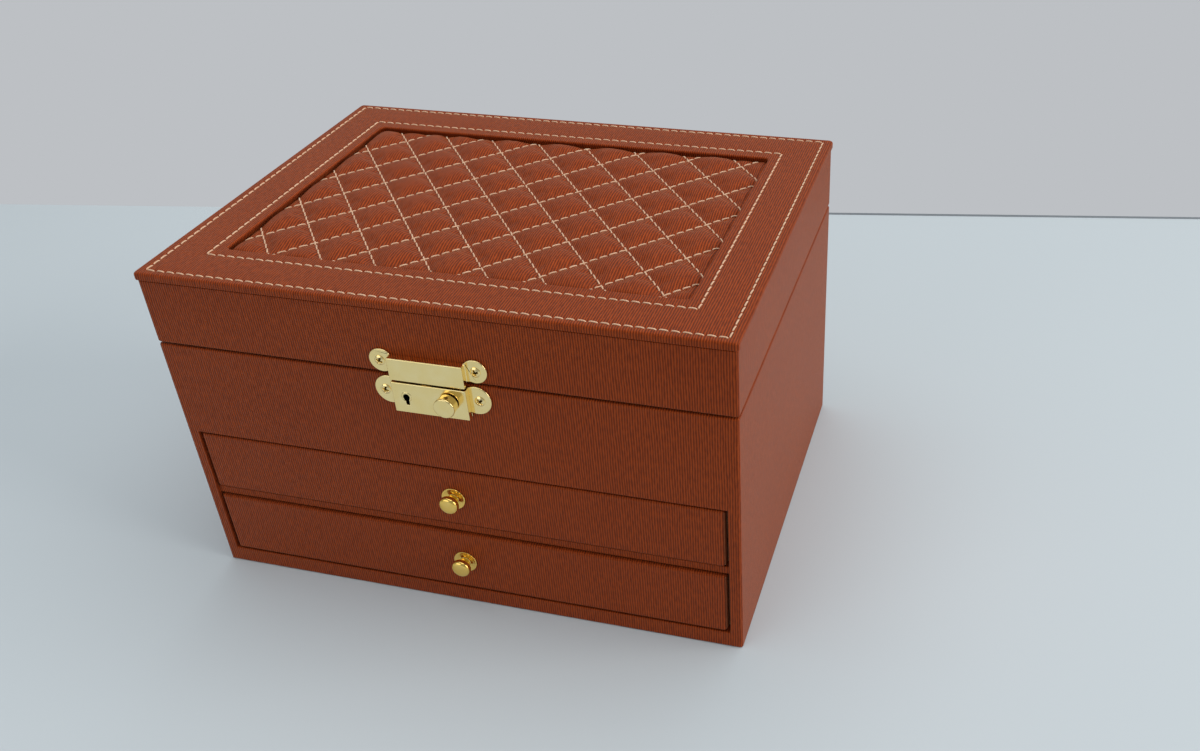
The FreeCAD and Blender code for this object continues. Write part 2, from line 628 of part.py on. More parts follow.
def make_lock():
    """Lock on the base: plate with the key's post, cover with keyhole and slot, bolt, knob and lever."""
    plate = eared_plate(LOCK_EAR_RADIUS, LOCK_EAR_Z, LOCK_LOW, LOCK_TOP)
    post = front_rod(KEYHOLE_X, KEYHOLE_Z, KEY_POST / 2, LOCK_PLATE, LOCK_RAISE)
    save("lock_plate", plate.fuse(post).removeSplitter())

    cover = raised_cover(LOCK_LOW, LOCK_TOP)
    ring = front_rod(KEYHOLE_X, KEYHOLE_Z, KEYHOLE_RING / 2, LOCK_RAISE, LOCK_RAISE + KEYHOLE_RING_HEIGHT)
    cover = cover.fuse(ring)
    outer = LOCK_RAISE + KEYHOLE_RING_HEIGHT
    inner = LOCK_RAISE - LOCK_SHEET
    slot_left = KEYHOLE_X - KEYHOLE_SLOT / 2
    slot_low = KEYHOLE_Z - KEYHOLE_LENGTH
    cover = cover.cut(front_rod(KEYHOLE_X, KEYHOLE_Z, KEYHOLE_ROUND / 2, inner, outer))
    cover = cover.cut(front_box(slot_left, slot_left + KEYHOLE_SLOT, inner, outer, slot_low, KEYHOLE_Z))
    tongue_slot = front_box(
        TONGUE_LEFT - PLAY, TONGUE_RIGHT + PLAY, LOCK_PLATE, inner, LOCK_TOP - LOCK_SHEET, LOCK_TOP
    )
    stem_room = LATCH_STEM / 2 + PLAY
    stem_left = LATCH_X - BOLT_TRAVEL
    stem_slot = front_box(stem_left, LATCH_X, inner, outer, BOLT_Z - stem_room, BOLT_Z + stem_room)
    ends = [front_rod(x, BOLT_Z, stem_room, inner, outer) for x in (stem_left, LATCH_X)]
    save("lock_cover", cut_all(cover, [tongue_slot, stem_slot.fuse(ends)]))
    save(
        "lock_screws",
        [
            screw(spot, FORWARD, EAR_SCREW, EAR_SCREW_HEAD, EAR_SCREW_RISE, EAR_SCREW_LENGTH)
            for spot in ear_screw_spots(LOCK_EAR_Z)
        ],
    )

    lever_gap = LEVER_WIDTH / 2 + PLAY
    body_right = BOLT_BODY_LEFT + BOLT_BODY_WIDTH
    body_low = BOLT_Z - BOLT_BODY_HEIGHT / 2
    body = bolt_layer(BOLT_BODY_LEFT, body_right, body_low, body_low + BOLT_BODY_HEIGHT)
    nose_low = BOLT_Z - BOLT_NOSE / 2
    nose = bolt_layer(BOLT_BODY_LEFT - BOLT_NOSE_LENGTH, BOLT_BODY_LEFT, nose_low, nose_low + BOLT_NOSE)
    arm_low = LOCK_LOW + LOCK_SHEET + PLAY
    arm_high = arm_low + BOLT_ARM
    arm = bolt_layer(KEYHOLE_X + lever_gap, body_right, arm_low, arm_high)
    web = bolt_layer(BOLT_BODY_LEFT, body_right, arm_low, BOLT_Z)
    notch_x = KEYHOLE_X + BOLT_TRAVEL
    notch_low = KEYHOLE_Z - LEVER_LENGTH - PLAY
    lever_notch = bolt_layer(notch_x - lever_gap, notch_x + lever_gap, notch_low, arm_high)
    bolt = body.fuse([nose, arm, web]).cut(lever_notch)
    save("latch_bolt", bolt.removeSplitter())

    knob_r = LATCH_KNOB / 2
    stem_r = LATCH_STEM / 2
    knob_low = outer + BOLT_GAP
    knob_face = knob_low + LATCH_KNOB_LENGTH
    profile = [
        (0, BOLT_FRONT),
        (stem_r, BOLT_FRONT),
        (stem_r, knob_low),
        (knob_r, knob_low),
        (knob_r, knob_face - LATCH_KNOB_ROUND),
        (knob_r - LATCH_KNOB_ROUND, knob_face),
        (0, knob_face),
    ]
    save("latch_knob", turned(profile, Vector(LATCH_X, -HALF_DEPTH, BOLT_Z), FORWARD))

    hub = front_rod(KEYHOLE_X, KEYHOLE_Z, LEVER_HUB / 2, BOLT_BACK, BOLT_FRONT)
    lobe_low = KEYHOLE_Z - LEVER_WIDTH / 2
    lobe = bolt_layer(KEYHOLE_X - LEVER_LENGTH, KEYHOLE_X, lobe_low, lobe_low + LEVER_WIDTH)
    bore = front_rod(KEYHOLE_X, KEYHOLE_Z, KEY_POST / 2 + RUNNING_CLEARANCE, BOLT_BACK, BOLT_FRONT)
    save("lock_lever", hub.fuse(lobe).cut(bore).removeSplitter())


def make_hasp():
    """Hasp on the lid: eared plate and raised front in one pressing, with a tongue for the bolt."""
    plate = eared_plate(HASP_EAR_RADIUS, HASP_EAR_Z, HASP_LOW, HASP_TOP)
    cover = raised_cover(HASP_LOW, HASP_TOP)
    back = TONGUE_FRONT - TONGUE_SHEET
    root = HASP_LOW + LOCK_SHEET
    tongue = front_box(TONGUE_LEFT, TONGUE_RIGHT, back, TONGUE_FRONT, TONGUE_LOW, root)
    notch_left = TONGUE_RIGHT - TONGUE_NOTCH
    notch_low = BOLT_Z - BOLT_NOSE / 2 - PLAY
    notch_high = BOLT_Z + BOLT_NOSE / 2 + PLAY
    notch = front_box(notch_left, TONGUE_RIGHT, back, TONGUE_FRONT, notch_low, notch_high)
    save("hasp_plate", plate.fuse([cover, tongue.cut(notch)]).removeSplitter())
    save(
        "hasp_screws",
        [
            screw(spot, FORWARD, EAR_SCREW, EAR_SCREW_HEAD, EAR_SCREW_RISE, EAR_SCREW_LENGTH)
            for spot in ear_screw_spots(HASP_EAR_Z)
        ],
    )


def hinge_rod(x0, x1, radius):
    """Round rod along the hinges' axis."""
    return Part.makeCylinder(radius, x1 - x0, Vector(x0, HINGE_Y, HINGE_Z), Vector(1, 0, 0))


def hinge_leaf(centre, direction, odd):
    """One leaf of a butt hinge with its share of the knuckles; direction is +1 for the lid's leaf."""
    left = centre - HINGE_LENGTH / 2
    pitch = (HINGE_LENGTH + KNUCKLE_GAP) / KNUCKLE_COUNT
    z0, z1 = sorted((HINGE_Z, HINGE_Z + direction * (KNUCKLE_RADIUS + HINGE_LEAF_HEIGHT)))
    leaf = box(left, left + HINGE_LENGTH, HALF_DEPTH, HALF_DEPTH + HINGE_LEAF, z0, z1)
    bore_r = HINGE_PIN / 2 + (RUNNING_CLEARANCE if direction > 0 else 0)
    root_low, root_high = sorted((HINGE_Z, HINGE_Z + direction * KNUCKLE_RADIUS))
    for index in range(KNUCKLE_COUNT):
        near = left + index * pitch
        far = near + pitch - KNUCKLE_GAP
        if index % 2 == odd:
            leaf = leaf.fuse(hinge_rod(near, far, KNUCKLE_RADIUS))
        else:
            near -= KNUCKLE_GAP
            far += KNUCKLE_GAP
            leaf = leaf.cut(hinge_rod(near, far, KNUCKLE_RADIUS + PLAY))
            leaf = leaf.cut(box(near, far, HALF_DEPTH, HALF_DEPTH + HINGE_LEAF, root_low, root_high))
    return leaf.cut(hinge_rod(left, left + HINGE_LENGTH, bore_r)).removeSplitter()


def make_hinges():
    """Two butt hinges on the back, their pins fixed in the base leaves."""
    sides = (
        ("base", -1, 0, HINGE_BASE_SPOTS),
        ("lid", 1, 1, HINGE_LID_SPOTS),
    )
    for name, direction, odd, spots in sides:
        holes = pilot_holes(spots, REARWARD, HINGE_SCREW, HINGE_LEAF)
        save(
            f"hinge_{name}_leaves",
            [cut_all(hinge_leaf(centre, direction, odd), holes).Solids[0] for centre in HINGE_CENTRES],
        )
        save(
            f"hinge_{name}_screws",
            [
                screw(spot, REARWARD, HINGE_SCREW, HINGE_SCREW_HEAD, HINGE_SCREW_RISE, HINGE_SCREW_LENGTH)
                for spot in spots
            ],
        )
    half = HINGE_LENGTH / 2
    pins = [hinge_rod(centre - half, centre + half, HINGE_PIN / 2) for centre in HINGE_CENTRES]
    save("hinge_pins", pins)


os.makedirs("parts", exist_ok=True)
make_carcase()
make_shelf()
make_body_leather()
make_compartment()
make_lid()
make_top_frame()
make_drawer("upper_drawer", SHELF_HIGH, BAY_HIGH, UPPER_COMPARTMENTS)
make_drawer("lower_drawer", BAY_LOW, SHELF_LOW, LOWER_COMPARTMENTS)
make_lock()
make_hasp()
make_hinges()
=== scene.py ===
import json
import math
import random

import bmesh
import bpy
from mathutils import Matrix, Vector
from mathutils.bvhtree import BVHTree

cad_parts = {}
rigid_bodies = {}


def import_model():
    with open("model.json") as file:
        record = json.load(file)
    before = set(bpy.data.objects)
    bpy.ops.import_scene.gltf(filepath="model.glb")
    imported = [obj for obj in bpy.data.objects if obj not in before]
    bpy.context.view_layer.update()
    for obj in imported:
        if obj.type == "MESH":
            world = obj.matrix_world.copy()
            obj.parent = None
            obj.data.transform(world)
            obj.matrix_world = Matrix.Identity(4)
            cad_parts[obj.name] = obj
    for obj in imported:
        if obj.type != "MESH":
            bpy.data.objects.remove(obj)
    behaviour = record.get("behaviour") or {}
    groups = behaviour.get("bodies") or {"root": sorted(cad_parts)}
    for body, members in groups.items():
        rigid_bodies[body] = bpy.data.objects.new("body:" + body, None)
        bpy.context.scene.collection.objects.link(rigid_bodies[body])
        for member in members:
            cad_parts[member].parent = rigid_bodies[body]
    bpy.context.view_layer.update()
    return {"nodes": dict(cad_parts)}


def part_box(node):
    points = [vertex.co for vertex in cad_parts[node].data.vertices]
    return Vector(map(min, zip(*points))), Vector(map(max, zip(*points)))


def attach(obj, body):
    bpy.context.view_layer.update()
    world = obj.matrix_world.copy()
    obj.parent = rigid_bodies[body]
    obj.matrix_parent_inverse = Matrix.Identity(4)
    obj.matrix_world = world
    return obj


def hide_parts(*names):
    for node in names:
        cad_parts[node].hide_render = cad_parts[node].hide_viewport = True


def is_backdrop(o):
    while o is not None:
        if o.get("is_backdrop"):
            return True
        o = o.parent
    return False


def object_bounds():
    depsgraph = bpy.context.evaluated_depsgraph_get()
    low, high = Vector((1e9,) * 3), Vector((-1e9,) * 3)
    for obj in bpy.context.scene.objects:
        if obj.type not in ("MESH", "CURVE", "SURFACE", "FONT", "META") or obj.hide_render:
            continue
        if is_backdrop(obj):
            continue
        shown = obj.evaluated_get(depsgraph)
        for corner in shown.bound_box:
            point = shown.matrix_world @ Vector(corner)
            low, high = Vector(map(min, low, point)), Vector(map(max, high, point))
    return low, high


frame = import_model()

# Boards of the base, the lid and the drawer boxes: raw fibreboard, sawn to size and glued edge to edge.
# Leather or velvet covers nearly all of it, and the rest shows only where a drawer slides.
MM = 0.001


def linear(colour):
    """sRGB hex colour as linear red, green, blue and alpha."""
    parts = [int(colour[i:i + 2], 16) / 255 for i in (1, 3, 5)]
    return [c / 12.92 if c <= 0.04045 else ((c + 0.055) / 1.055) ** 2.4 for c in parts] + [1.0]


def add_node(tree, kind, inputs=None, **settings):
    """Adds one shader node; each input is a value or the socket that feeds it."""
    made = tree.nodes.new("ShaderNode" + kind)
    for name, value in settings.items():
        setattr(made, name, value)
    for name, value in (inputs or {}).items():
        if isinstance(value, bpy.types.NodeSocket):
            tree.links.new(value, made.inputs[name])
        else:
            made.inputs[name].default_value = value
    return made


def new_finish(name, sockets):
    """New material with steady values on its main shader, its node tree, and its place in the piece."""
    made = bpy.data.materials.new(name)
    made.use_nodes = True
    shader = made.node_tree.nodes["Principled BSDF"]
    for socket, value in sockets.items():
        shader.inputs[socket].default_value = value
    place = add_node(made.node_tree, "TexCoord")
    return made, made.node_tree, shader, place


def dress(finish, *names):
    """Gives CAD nodes their finish and leaves their shape."""
    for name in names:
        mesh = frame["nodes"][name].data
        mesh.materials.clear()
        mesh.materials.append(finish)


FIBRE_LENGTH = 0.7 * MM
FIBRE_DEPTH = 0.05 * MM

# Sawn fibreboard: pale brown, matt, with short pressed fibres that give it a fine speckle
fibreboard, tree, shader, place = new_finish("fibreboard_sawn", {"Roughness": 0.85})
fibres = add_node(
    tree, "TexNoise", {"Vector": place.outputs["Object"], "Scale": 1 / FIBRE_LENGTH, "Detail": 5.0}
)
board_tone = add_node(
    tree,
    "Mix",
    {"Factor": fibres.outputs["Fac"], 6: linear("#8c6a45"), 7: linear("#b5946b")},
    data_type="RGBA",
)
tree.links.new(board_tone.outputs[2], shader.inputs["Base Color"])
board_bump = add_node(
    tree, "Bump", {"Height": fibres.outputs["Fac"], "Distance": FIBRE_DEPTH, "Strength": 0.6}
)
tree.links.new(board_bump.outputs["Normal"], shader.inputs["Normal"])
dress(fibreboard, "bottom_board", "left_side_board", "right_side_board", "back_board", "front_rail_board")
dress(fibreboard, "compartment_floor", "drawer_shelf", "top_frame_board", "lid_panel")
dress(fibreboard, "lid_front_board", "lid_back_board", "lid_left_board", "lid_right_board")
DRAWERS = ("upper_drawer", "lower_drawer")
DRAWER_BOARDS = ("front_board", "left_side", "right_side", "back", "bottom")
for drawer in DRAWERS:
    dress(fibreboard, *(f"{drawer}_{board}" for board in DRAWER_BOARDS))

# Felt under the base: a thin pressed sheet glued to the bottom board, so the case doesn't mark a table.
# Pressed felt is dark brown and quite matt, with a faint nap.
# single hairs are too fine to show, so the nap is drawn this coarse
NAP_WIDTH = 0.8 * MM
NAP_DEPTH = 0.15 * MM
felt, tree, shader, place = new_finish("felt_pressed", {"Roughness": 0.95, "Sheen Weight": 0.3})
nap = add_node(tree, "TexNoise", {"Vector": place.outputs["Object"], "Scale": 1 / NAP_WIDTH, "Detail": 6.0})
felt_tone = add_node(
    tree, "Mix", {"Factor": nap.outputs["Fac"], 6: linear("#2a1d15"), 7: linear("#4a3628")}, data_type="RGBA"
)
tree.links.new(felt_tone.outputs[2], shader.inputs["Base Color"])
felt_bump = add_node(tree, "Bump", {"Height": nap.outputs["Fac"], "Distance": NAP_DEPTH, "Strength": 0.8})
tree.links.new(felt_bump.outputs["Normal"], shader.inputs["Normal"])
dress(felt, "base_felt")

# Leather over the base, the lid's walls, the shelf edge and the drawer fronts: coated artificial leather,
# 0.8 mm, glued to the boards and folded in at every edge, so each edge is a small soft roll.
GRAIN_PITCH = 1.05 * MM
GRAIN_STRETCH = 0.3
GRAIN_DEPTH = 0.14 * MM
DRIFT_WIDTH = 38 * MM
FACING_SHARE = 0.7
# a wave texture at scale 1 repeats over this length
WAVE_PERIOD = 2 * math.pi / 20
SHARP = math.radians(28)
SAME_PLACE = 1e-7
SAME_PLANE = math.radians(0.5)
# degrees: a piece that keeps its edges sharp from this angle, or from less, has flat faces
FLAT_FACED = 40


def eased(node, width, steps=3):
    """Copy of a node's own shape, with its sharp edges rolled over."""
    bm = bmesh.new()
    bm.from_mesh(frame["nodes"][node].data)
    bmesh.ops.remove_doubles(bm, verts=bm.verts, dist=SAME_PLACE)
    bmesh.ops.dissolve_limit(bm, angle_limit=SAME_PLANE, verts=bm.verts, edges=bm.edges)
    sharp = [e for e in bm.edges if len(e.link_faces) == 2 and e.calc_face_angle() > SHARP]
    bmesh.ops.bevel(
        bm, geom=sharp, offset=width, offset_type="OFFSET", segments=steps, profile=0.5, affect="EDGES"
    )
    bmesh.ops.dissolve_degenerate(bm, dist=SAME_PLACE, edges=bm.edges)
    return bm


def seat(name, bm, finish, body, slot, *nodes, smooth=FLAT_FACED):
    """Turns a finished mesh into a piece that rides on its body and stands for its nodes."""
    bmesh.ops.recalc_face_normals(bm, faces=bm.faces)
    mesh = bpy.data.meshes.new(name)
    bm.to_mesh(mesh)
    bm.free()
    mesh.materials.append(finish)
    mesh.shade_smooth()
    mesh.set_sharp_from_angle(angle=math.radians(smooth))
    made = bpy.data.objects.new(name, mesh)
    bpy.context.scene.collection.objects.link(made)
    if smooth <= FLAT_FACED:
        # flat faces stay flat beside a rolled edge
        made.modifiers.new("even_faces", "WEIGHTED_NORMAL").keep_sharp = True
    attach(made, body)
    if nodes:
        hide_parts(*nodes)
    return made


# Coated artificial leather: chestnut, half matt, pressed with fine wavy ridges that run up the walls and
# back across the top; deeper between the ridges, with a warm bloom where it is seen at a low angle
leather, tree, shader, place = new_finish(
    "leather_coated_grained",
    {
        "Roughness": 0.5,
        "Specular IOR Level": 0.27,
        "Specular Tint": linear("#ffbf98"),
        "Sheen Weight": 0.14,
        "Sheen Roughness": 0.4,
        "Sheen Tint": linear("#ffe2b4"),
    },
)
spot = add_node(tree, "SeparateXYZ", {0: place.outputs["Object"]})
facing = add_node(tree, "SeparateXYZ", {0: place.outputs["Normal"]})
facing_x = add_node(tree, "Math", {0: facing.outputs["X"]}, operation="ABSOLUTE")
facing_z = add_node(tree, "Math", {0: facing.outputs["Z"]}, operation="ABSOLUTE")
sideways = add_node(tree, "Math", {0: facing_x.outputs[0], 1: FACING_SHARE}, operation="GREATER_THAN")
upward = add_node(tree, "Math", {0: facing_z.outputs[0], 1: FACING_SHARE}, operation="GREATER_THAN")
across = add_node(tree, "Mix", {"Factor": sideways.outputs[0], 2: spot.outputs["X"], 3: spot.outputs["Y"]})
along = add_node(tree, "Mix", {"Factor": upward.outputs[0], 2: spot.outputs["Z"], 3: spot.outputs["Y"]})
drawn_out = add_node(tree, "Math", {0: along.outputs[0], 1: GRAIN_STRETCH}, operation="MULTIPLY")
grain_place = add_node(tree, "CombineXYZ", {"X": across.outputs[0], "Y": drawn_out.outputs[0]})
ripples = add_node(
    tree,
    "TexWave",
    {
        "Vector": grain_place.outputs[0],
        "Scale": WAVE_PERIOD / GRAIN_PITCH,
        "Distortion": 2.6,
        "Detail": 2.0,
        "Detail Scale": 0.6,
        "Detail Roughness": 0.5,
    },
)
strokes = add_node(
    tree,
    "TexNoise",
    {"Vector": grain_place.outputs[0], "Scale": 1 / GRAIN_PITCH, "Detail": 1.0, "Roughness": 0.5},
    noise_dimensions="2D",
)
uneven = add_node(tree, "Math", {0: ripples.outputs["Fac"], 1: strokes.outputs["Fac"]}, operation="ADD")
ridges = add_node(tree, "MapRange", {"Value": uneven.outputs[0], "From Min": 0.55, "From Max": 1.45})
drift = add_node(
    tree, "TexNoise", {"Vector": place.outputs["Object"], "Scale": 1 / DRIFT_WIDTH, "Detail": 2.0}
)
leather_deep = add_node(
    tree,
    "Mix",
    {"Factor": drift.outputs["Fac"], 6: linear("#61200a"), 7: linear("#69250c")},
    data_type="RGBA",
)
leather_high = add_node(
    tree,
    "Mix",
    {"Factor": drift.outputs["Fac"], 6: linear("#9b3e14"), 7: linear("#a64617")},
    data_type="RGBA",
)
leather_tone = add_node(
    tree,
    "Mix",
    {"Factor": ridges.outputs[0], 6: leather_deep.outputs[2], 7: leather_high.outputs[2]},
    data_type="RGBA",
)
tree.links.new(leather_tone.outputs[2], shader.inputs["Base Color"])
leather_bump = add_node(
    tree, "Bump", {"Height": ridges.outputs[0], "Distance": GRAIN_DEPTH, "Strength": 1.0}
)
tree.links.new(leather_bump.outputs["Normal"], shader.inputs["Normal"])

LEATHER_ROLL = 0.4 * MM
DRAWER_ROLL = 0.6 * MM
RIGHT_GAP = 0.45 * MM
RIGHT_END = 100 * MM
seat("case_leather", eased("body_leather", LEATHER_ROLL), leather, "case", "leather", "body_leather")
seat("lid_wall_leather", eased("lid_leather", LEATHER_ROLL), leather, "lid", "leather", "lid_leather")
seat("shelf_edge_leather", eased("shelf_leather", LEATHER_ROLL), leather, "case", "leather", "shelf_leather")
for drawer in DRAWERS:
    skin = f"{drawer}_front_leather"
    bm = eased(skin, DRAWER_ROLL)
    right_edge = [v for v in bm.verts if v.co.x > RIGHT_END]
    bmesh.ops.translate(bm, verts=right_edge, vec=(-RIGHT_GAP, 0, 0))
    seat(f"{drawer}_face_leather", bm, leather, drawer, "leather", skin)

# Frame on top of the lid: a board wrapped in the same leather, with a window for the quilted pad.
# Its edges are rolled, and a row of lockstitch runs near the outer edge and another round the window.
frame_low, frame_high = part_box("top_frame_leather")
FRAME_LOW = frame_low.z
FRAME_TOP = frame_high.z
FRAME_HALF = (frame_high.x, frame_high.y)
FRAME_CORNER = 1.6 * MM
pad_low, pad_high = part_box("quilted_pad")
PAD_HALF = (pad_high.x, pad_high.y)
WINDOW_GAP = 0.2 * MM
WINDOW_HALF = (PAD_HALF[0] + WINDOW_GAP, PAD_HALF[1] + WINDOW_GAP)
WINDOW_CORNER = 3 * MM
OUTER_ROW = (121.3 * MM, 91.1 * MM)
INNER_ROW = (104.95 * MM, 73.75 * MM)
ROW_SINK = 0.28 * MM
ROW_CORNER = 0.6 * MM
# the dip that a row of stitches pulls into the leather: millimetres out of the row, share of the sink
ROW_SECTION = ((1.3, 0.0), (0.75, 0.35), (0.35, 0.85), (0.0, 1.0), (-0.35, 0.85), (-0.75, 0.35), (-1.3, 0.0))


def ring(half_x, half_y, radius, spacing=1.1 * MM, corner_steps=6):
    """Points of a rounded rectangle, with as many on every ring of one frame."""
    points = []
    count_x = round(2 * FRAME_HALF[0] / spacing)
    count_y = round(2 * FRAME_HALF[1] / spacing)
    flat_x = half_x - radius
    flat_y = half_y - radius
    corners = ((1, 1, 0), (-1, 1, 1), (-1, -1, 2), (1, -1, 3))
    for index, (sx, sy, quarter) in enumerate(corners):
        for step in range(corner_steps + 1):
            turn = math.pi / 2 * (quarter + step / corner_steps)
            points.append((sx * flat_x + radius * math.cos(turn), sy * flat_y + radius * math.sin(turn)))
        following = corners[(index + 1) % 4]
        count = count_x if sy == following[1] else count_y
        nx, ny = following[0] * flat_x, following[1] * flat_y
        turn = math.pi / 2 * (quarter + 1)
        nx, ny = nx + radius * math.cos(turn), ny + radius * math.sin(turn)
        x, y = points[-1]
        points += [(x + (nx - x) * k / count, y + (ny - y) * k / count) for k in range(1, count)]
    return points


def swept(stations):
    """Closed band through rounded rectangles given as half sizes, corner radius and height."""
    bm = bmesh.new()
    rings = []
    for half_x, half_y, radius, z in stations:
        rings.append([bm.verts.new((x, y, z)) for x, y in ring(half_x, half_y, radius)])
    for low, high in zip(rings, rings[1:] + rings[:1]):
        for a in range(len(low)):
            b = (a + 1) % len(low)
            bm.faces.new((low[a], low[b], high[b], high[a]))
    return bm


def row_station(row, out, z):
    """Station at a small distance outside a stitch row."""
    return (row[0] + out, row[1] + out, ROW_CORNER, z)


def rolled(inset, z):
    """Station on the frame's outer edge, a little way in from its widest line."""
    return (FRAME_HALF[0] - inset, FRAME_HALF[1] - inset, FRAME_CORNER, z)


TOP_ROLL = 1.2 * MM
TOP_STEPS = 6
SEAM_ROLL = 0.35 * MM
SEAM_STEPS = 3
SEAM_GAP = 0.5 * MM
FOOT_INSET = 1.6 * MM
SEAM_INSET = 1.5 * MM
stations = [rolled(FOOT_INSET, FRAME_LOW), rolled(SEAM_INSET, FRAME_LOW + SEAM_GAP)]
for step in range(SEAM_STEPS + 1):
    turn = math.pi / 2 * step / SEAM_STEPS
    height = FRAME_LOW + SEAM_GAP + SEAM_ROLL * (1 - math.cos(turn))
    stations.append(rolled(SEAM_ROLL * (1 - math.sin(turn)), height))
for step in range(TOP_STEPS + 1):
    turn = math.pi / 2 * step / TOP_STEPS
    height = FRAME_TOP - TOP_ROLL * (1 - math.sin(turn))
    stations.append(rolled(TOP_ROLL * (1 - math.cos(turn)), height))
BAND_CROWN = 0.12 * MM
BAND_CORNER = 0.8 * MM
BAND_SHARES = (0.3, 0.5, 0.7)
for row in (OUTER_ROW, INNER_ROW):
    for out, sink in ROW_SECTION:
        stations.append(row_station(row, out * MM, FRAME_TOP - sink * ROW_SINK))
    if row is OUTER_ROW:
        for share in BAND_SHARES:
            half = [OUTER_ROW[i] + (INNER_ROW[i] - OUTER_ROW[i]) * share for i in (0, 1)]
            stations.append((half[0], half[1], BAND_CORNER, FRAME_TOP + BAND_CROWN))


def window_station(out, radius, z):
    """Station at a small distance outside the window's edge."""
    return (WINDOW_HALF[0] + out, WINDOW_HALF[1] + out, radius, z)


WINDOW_ROLL = 0.7 * MM
WINDOW_STEPS = 8
LIP_REACH = 0.5 * MM
WALL_SETBACK = 0.6 * MM
WALL_TOP = 1.5 * MM
WALL_FOOT = 0.05 * MM
TURN_UNDER = 3 * MM
for step in range(WINDOW_STEPS + 1):
    turn = math.pi * step / WINDOW_STEPS
    out = WINDOW_ROLL * (1 - math.sin(turn)) - LIP_REACH
    height = FRAME_TOP - WINDOW_ROLL * (1 - math.cos(turn))
    stations.append(window_station(out, WINDOW_CORNER + out, height))
for height in (WALL_TOP, WALL_FOOT):
    stations.append(window_station(WALL_SETBACK, WINDOW_CORNER + WALL_SETBACK, FRAME_LOW + height))
stations.append(window_station(TURN_UNDER, WINDOW_CORNER, FRAME_LOW))
top_frame = seat("top_frame_cover", swept(stations), leather, "lid", "leather", "top_frame_leather")

# Stitches of the frame: machine lockstitch in cream polyester thread about 0.7 mm thick. Each stitch is
# about 3.7 mm long, leans a little across its row, and its ends go down into the leather.
THREAD_RADIUS = 0.34 * MM
STITCH_PITCH = 4.5 * MM
STITCH_LENGTH = 3.75 * MM
STITCH_SLANT = -0.34 * MM
THREAD_SIDES = 8
THREAD_SMOOTH = 60
THREAD_STEPS = (-0.5, -0.45, -0.36, -0.2, 0.0, 0.2, 0.36, 0.45, 0.5)
SLANT_SPREAD = (0.7, 1.3)
LENGTH_SPREAD = (0.94, 1.04)
SEWING_HEIGHT = FRAME_TOP + 10 * MM
SHADE_LENGTH = 3 * MM
PLY_PITCH = 0.5 * MM
PLY_DEPTH = 0.06 * MM
draw = random.Random(7)

# Bonded polyester: cream, half matt, with the fine diagonal of its twist
thread, tree, shader, place = new_finish("thread_polyester_bonded", {"Roughness": 0.6, "Sheen Weight": 0.25})
shade = add_node(
    tree, "TexNoise", {"Vector": place.outputs["Object"], "Scale": 1 / SHADE_LENGTH, "Detail": 2.0}
)
thread_tone = add_node(
    tree,
    "Mix",
    {"Factor": shade.outputs["Fac"], 6: linear("#d2a47f"), 7: linear("#f0c9a6")},
    data_type="RGBA",
)
tree.links.new(thread_tone.outputs[2], shader.inputs["Base Color"])
ply = add_node(
    tree,
    "TexWave",
    {"Vector": place.outputs["Object"], "Scale": WAVE_PERIOD / PLY_PITCH},
    bands_direction="DIAGONAL",
)
thread_bump = add_node(tree, "Bump", {"Height": ply.outputs["Fac"], "Distance": PLY_DEPTH, "Strength": 0.8})
tree.links.new(thread_bump.outputs["Normal"], shader.inputs["Normal"])


def surface_of(made):
    """Tree of a piece's finished faces, to lay stitches on."""
    return BVHTree.FromObject(made, bpy.context.evaluated_depsgraph_get())


def sew(bm, surface, start, end):
    """Row of stitches on a surface from start to end, each a small bowed length of thread."""
    start, end = Vector((*start, 0)), Vector((*end, 0))
    run = end - start
    count = max(1, round(run.length / STITCH_PITCH))
    along = run.normalized()
    beside = Vector((-along.y, along.x, 0))
    for index in range(count):
        middle = start + run * ((index + 0.5) / count)
        slant = STITCH_SLANT * draw.uniform(*SLANT_SPREAD)
        stretch = STITCH_LENGTH * draw.uniform(*LENGTH_SPREAD)
        loops = []
        for step in THREAD_STEPS:
            point = middle + along * (stretch * step) + beside * (slant * step)
            hit = surface.ray_cast(Vector((point.x, point.y, SEWING_HEIGHT)), Vector((0, 0, -1)))[0]
            # bowed up in the middle, and pulled down steeply at both ends
            lift = THREAD_RADIUS * (0.75 - 0.5 * (2 * step) ** 2 - 1.6 * (2 * step) ** 8)
            centre = Vector((point.x, point.y, hit.z + lift))
            loop = []
            for side in range(THREAD_SIDES):
                turn = 2 * math.pi * side / THREAD_SIDES
                out = beside * math.cos(turn) + Vector((0, 0, math.sin(turn)))
                loop.append(bm.verts.new(centre + out * THREAD_RADIUS))
            loops.append(loop)
        for low, high in zip(loops, loops[1:]):
            for a in range(THREAD_SIDES):
                b = (a + 1) % THREAD_SIDES
                bm.faces.new((low[a], low[b], high[b], high[a]))
        bm.faces.new(loops[0])
        bm.faces.new(loops[-1])


frame_surface = surface_of(top_frame)
for row, label in ((OUTER_ROW, "outer"), (INNER_ROW, "inner")):
    bm = bmesh.new()
    corners = [(row[0], row[1]), (-row[0], row[1]), (-row[0], -row[1]), (row[0], -row[1])]
    for start, end in zip(corners, corners[1:] + corners[:1]):
        sew(bm, frame_surface, start, end)
    seat(f"top_frame_{label}_stitches", bm, thread, "lid", None, smooth=THREAD_SMOOTH)

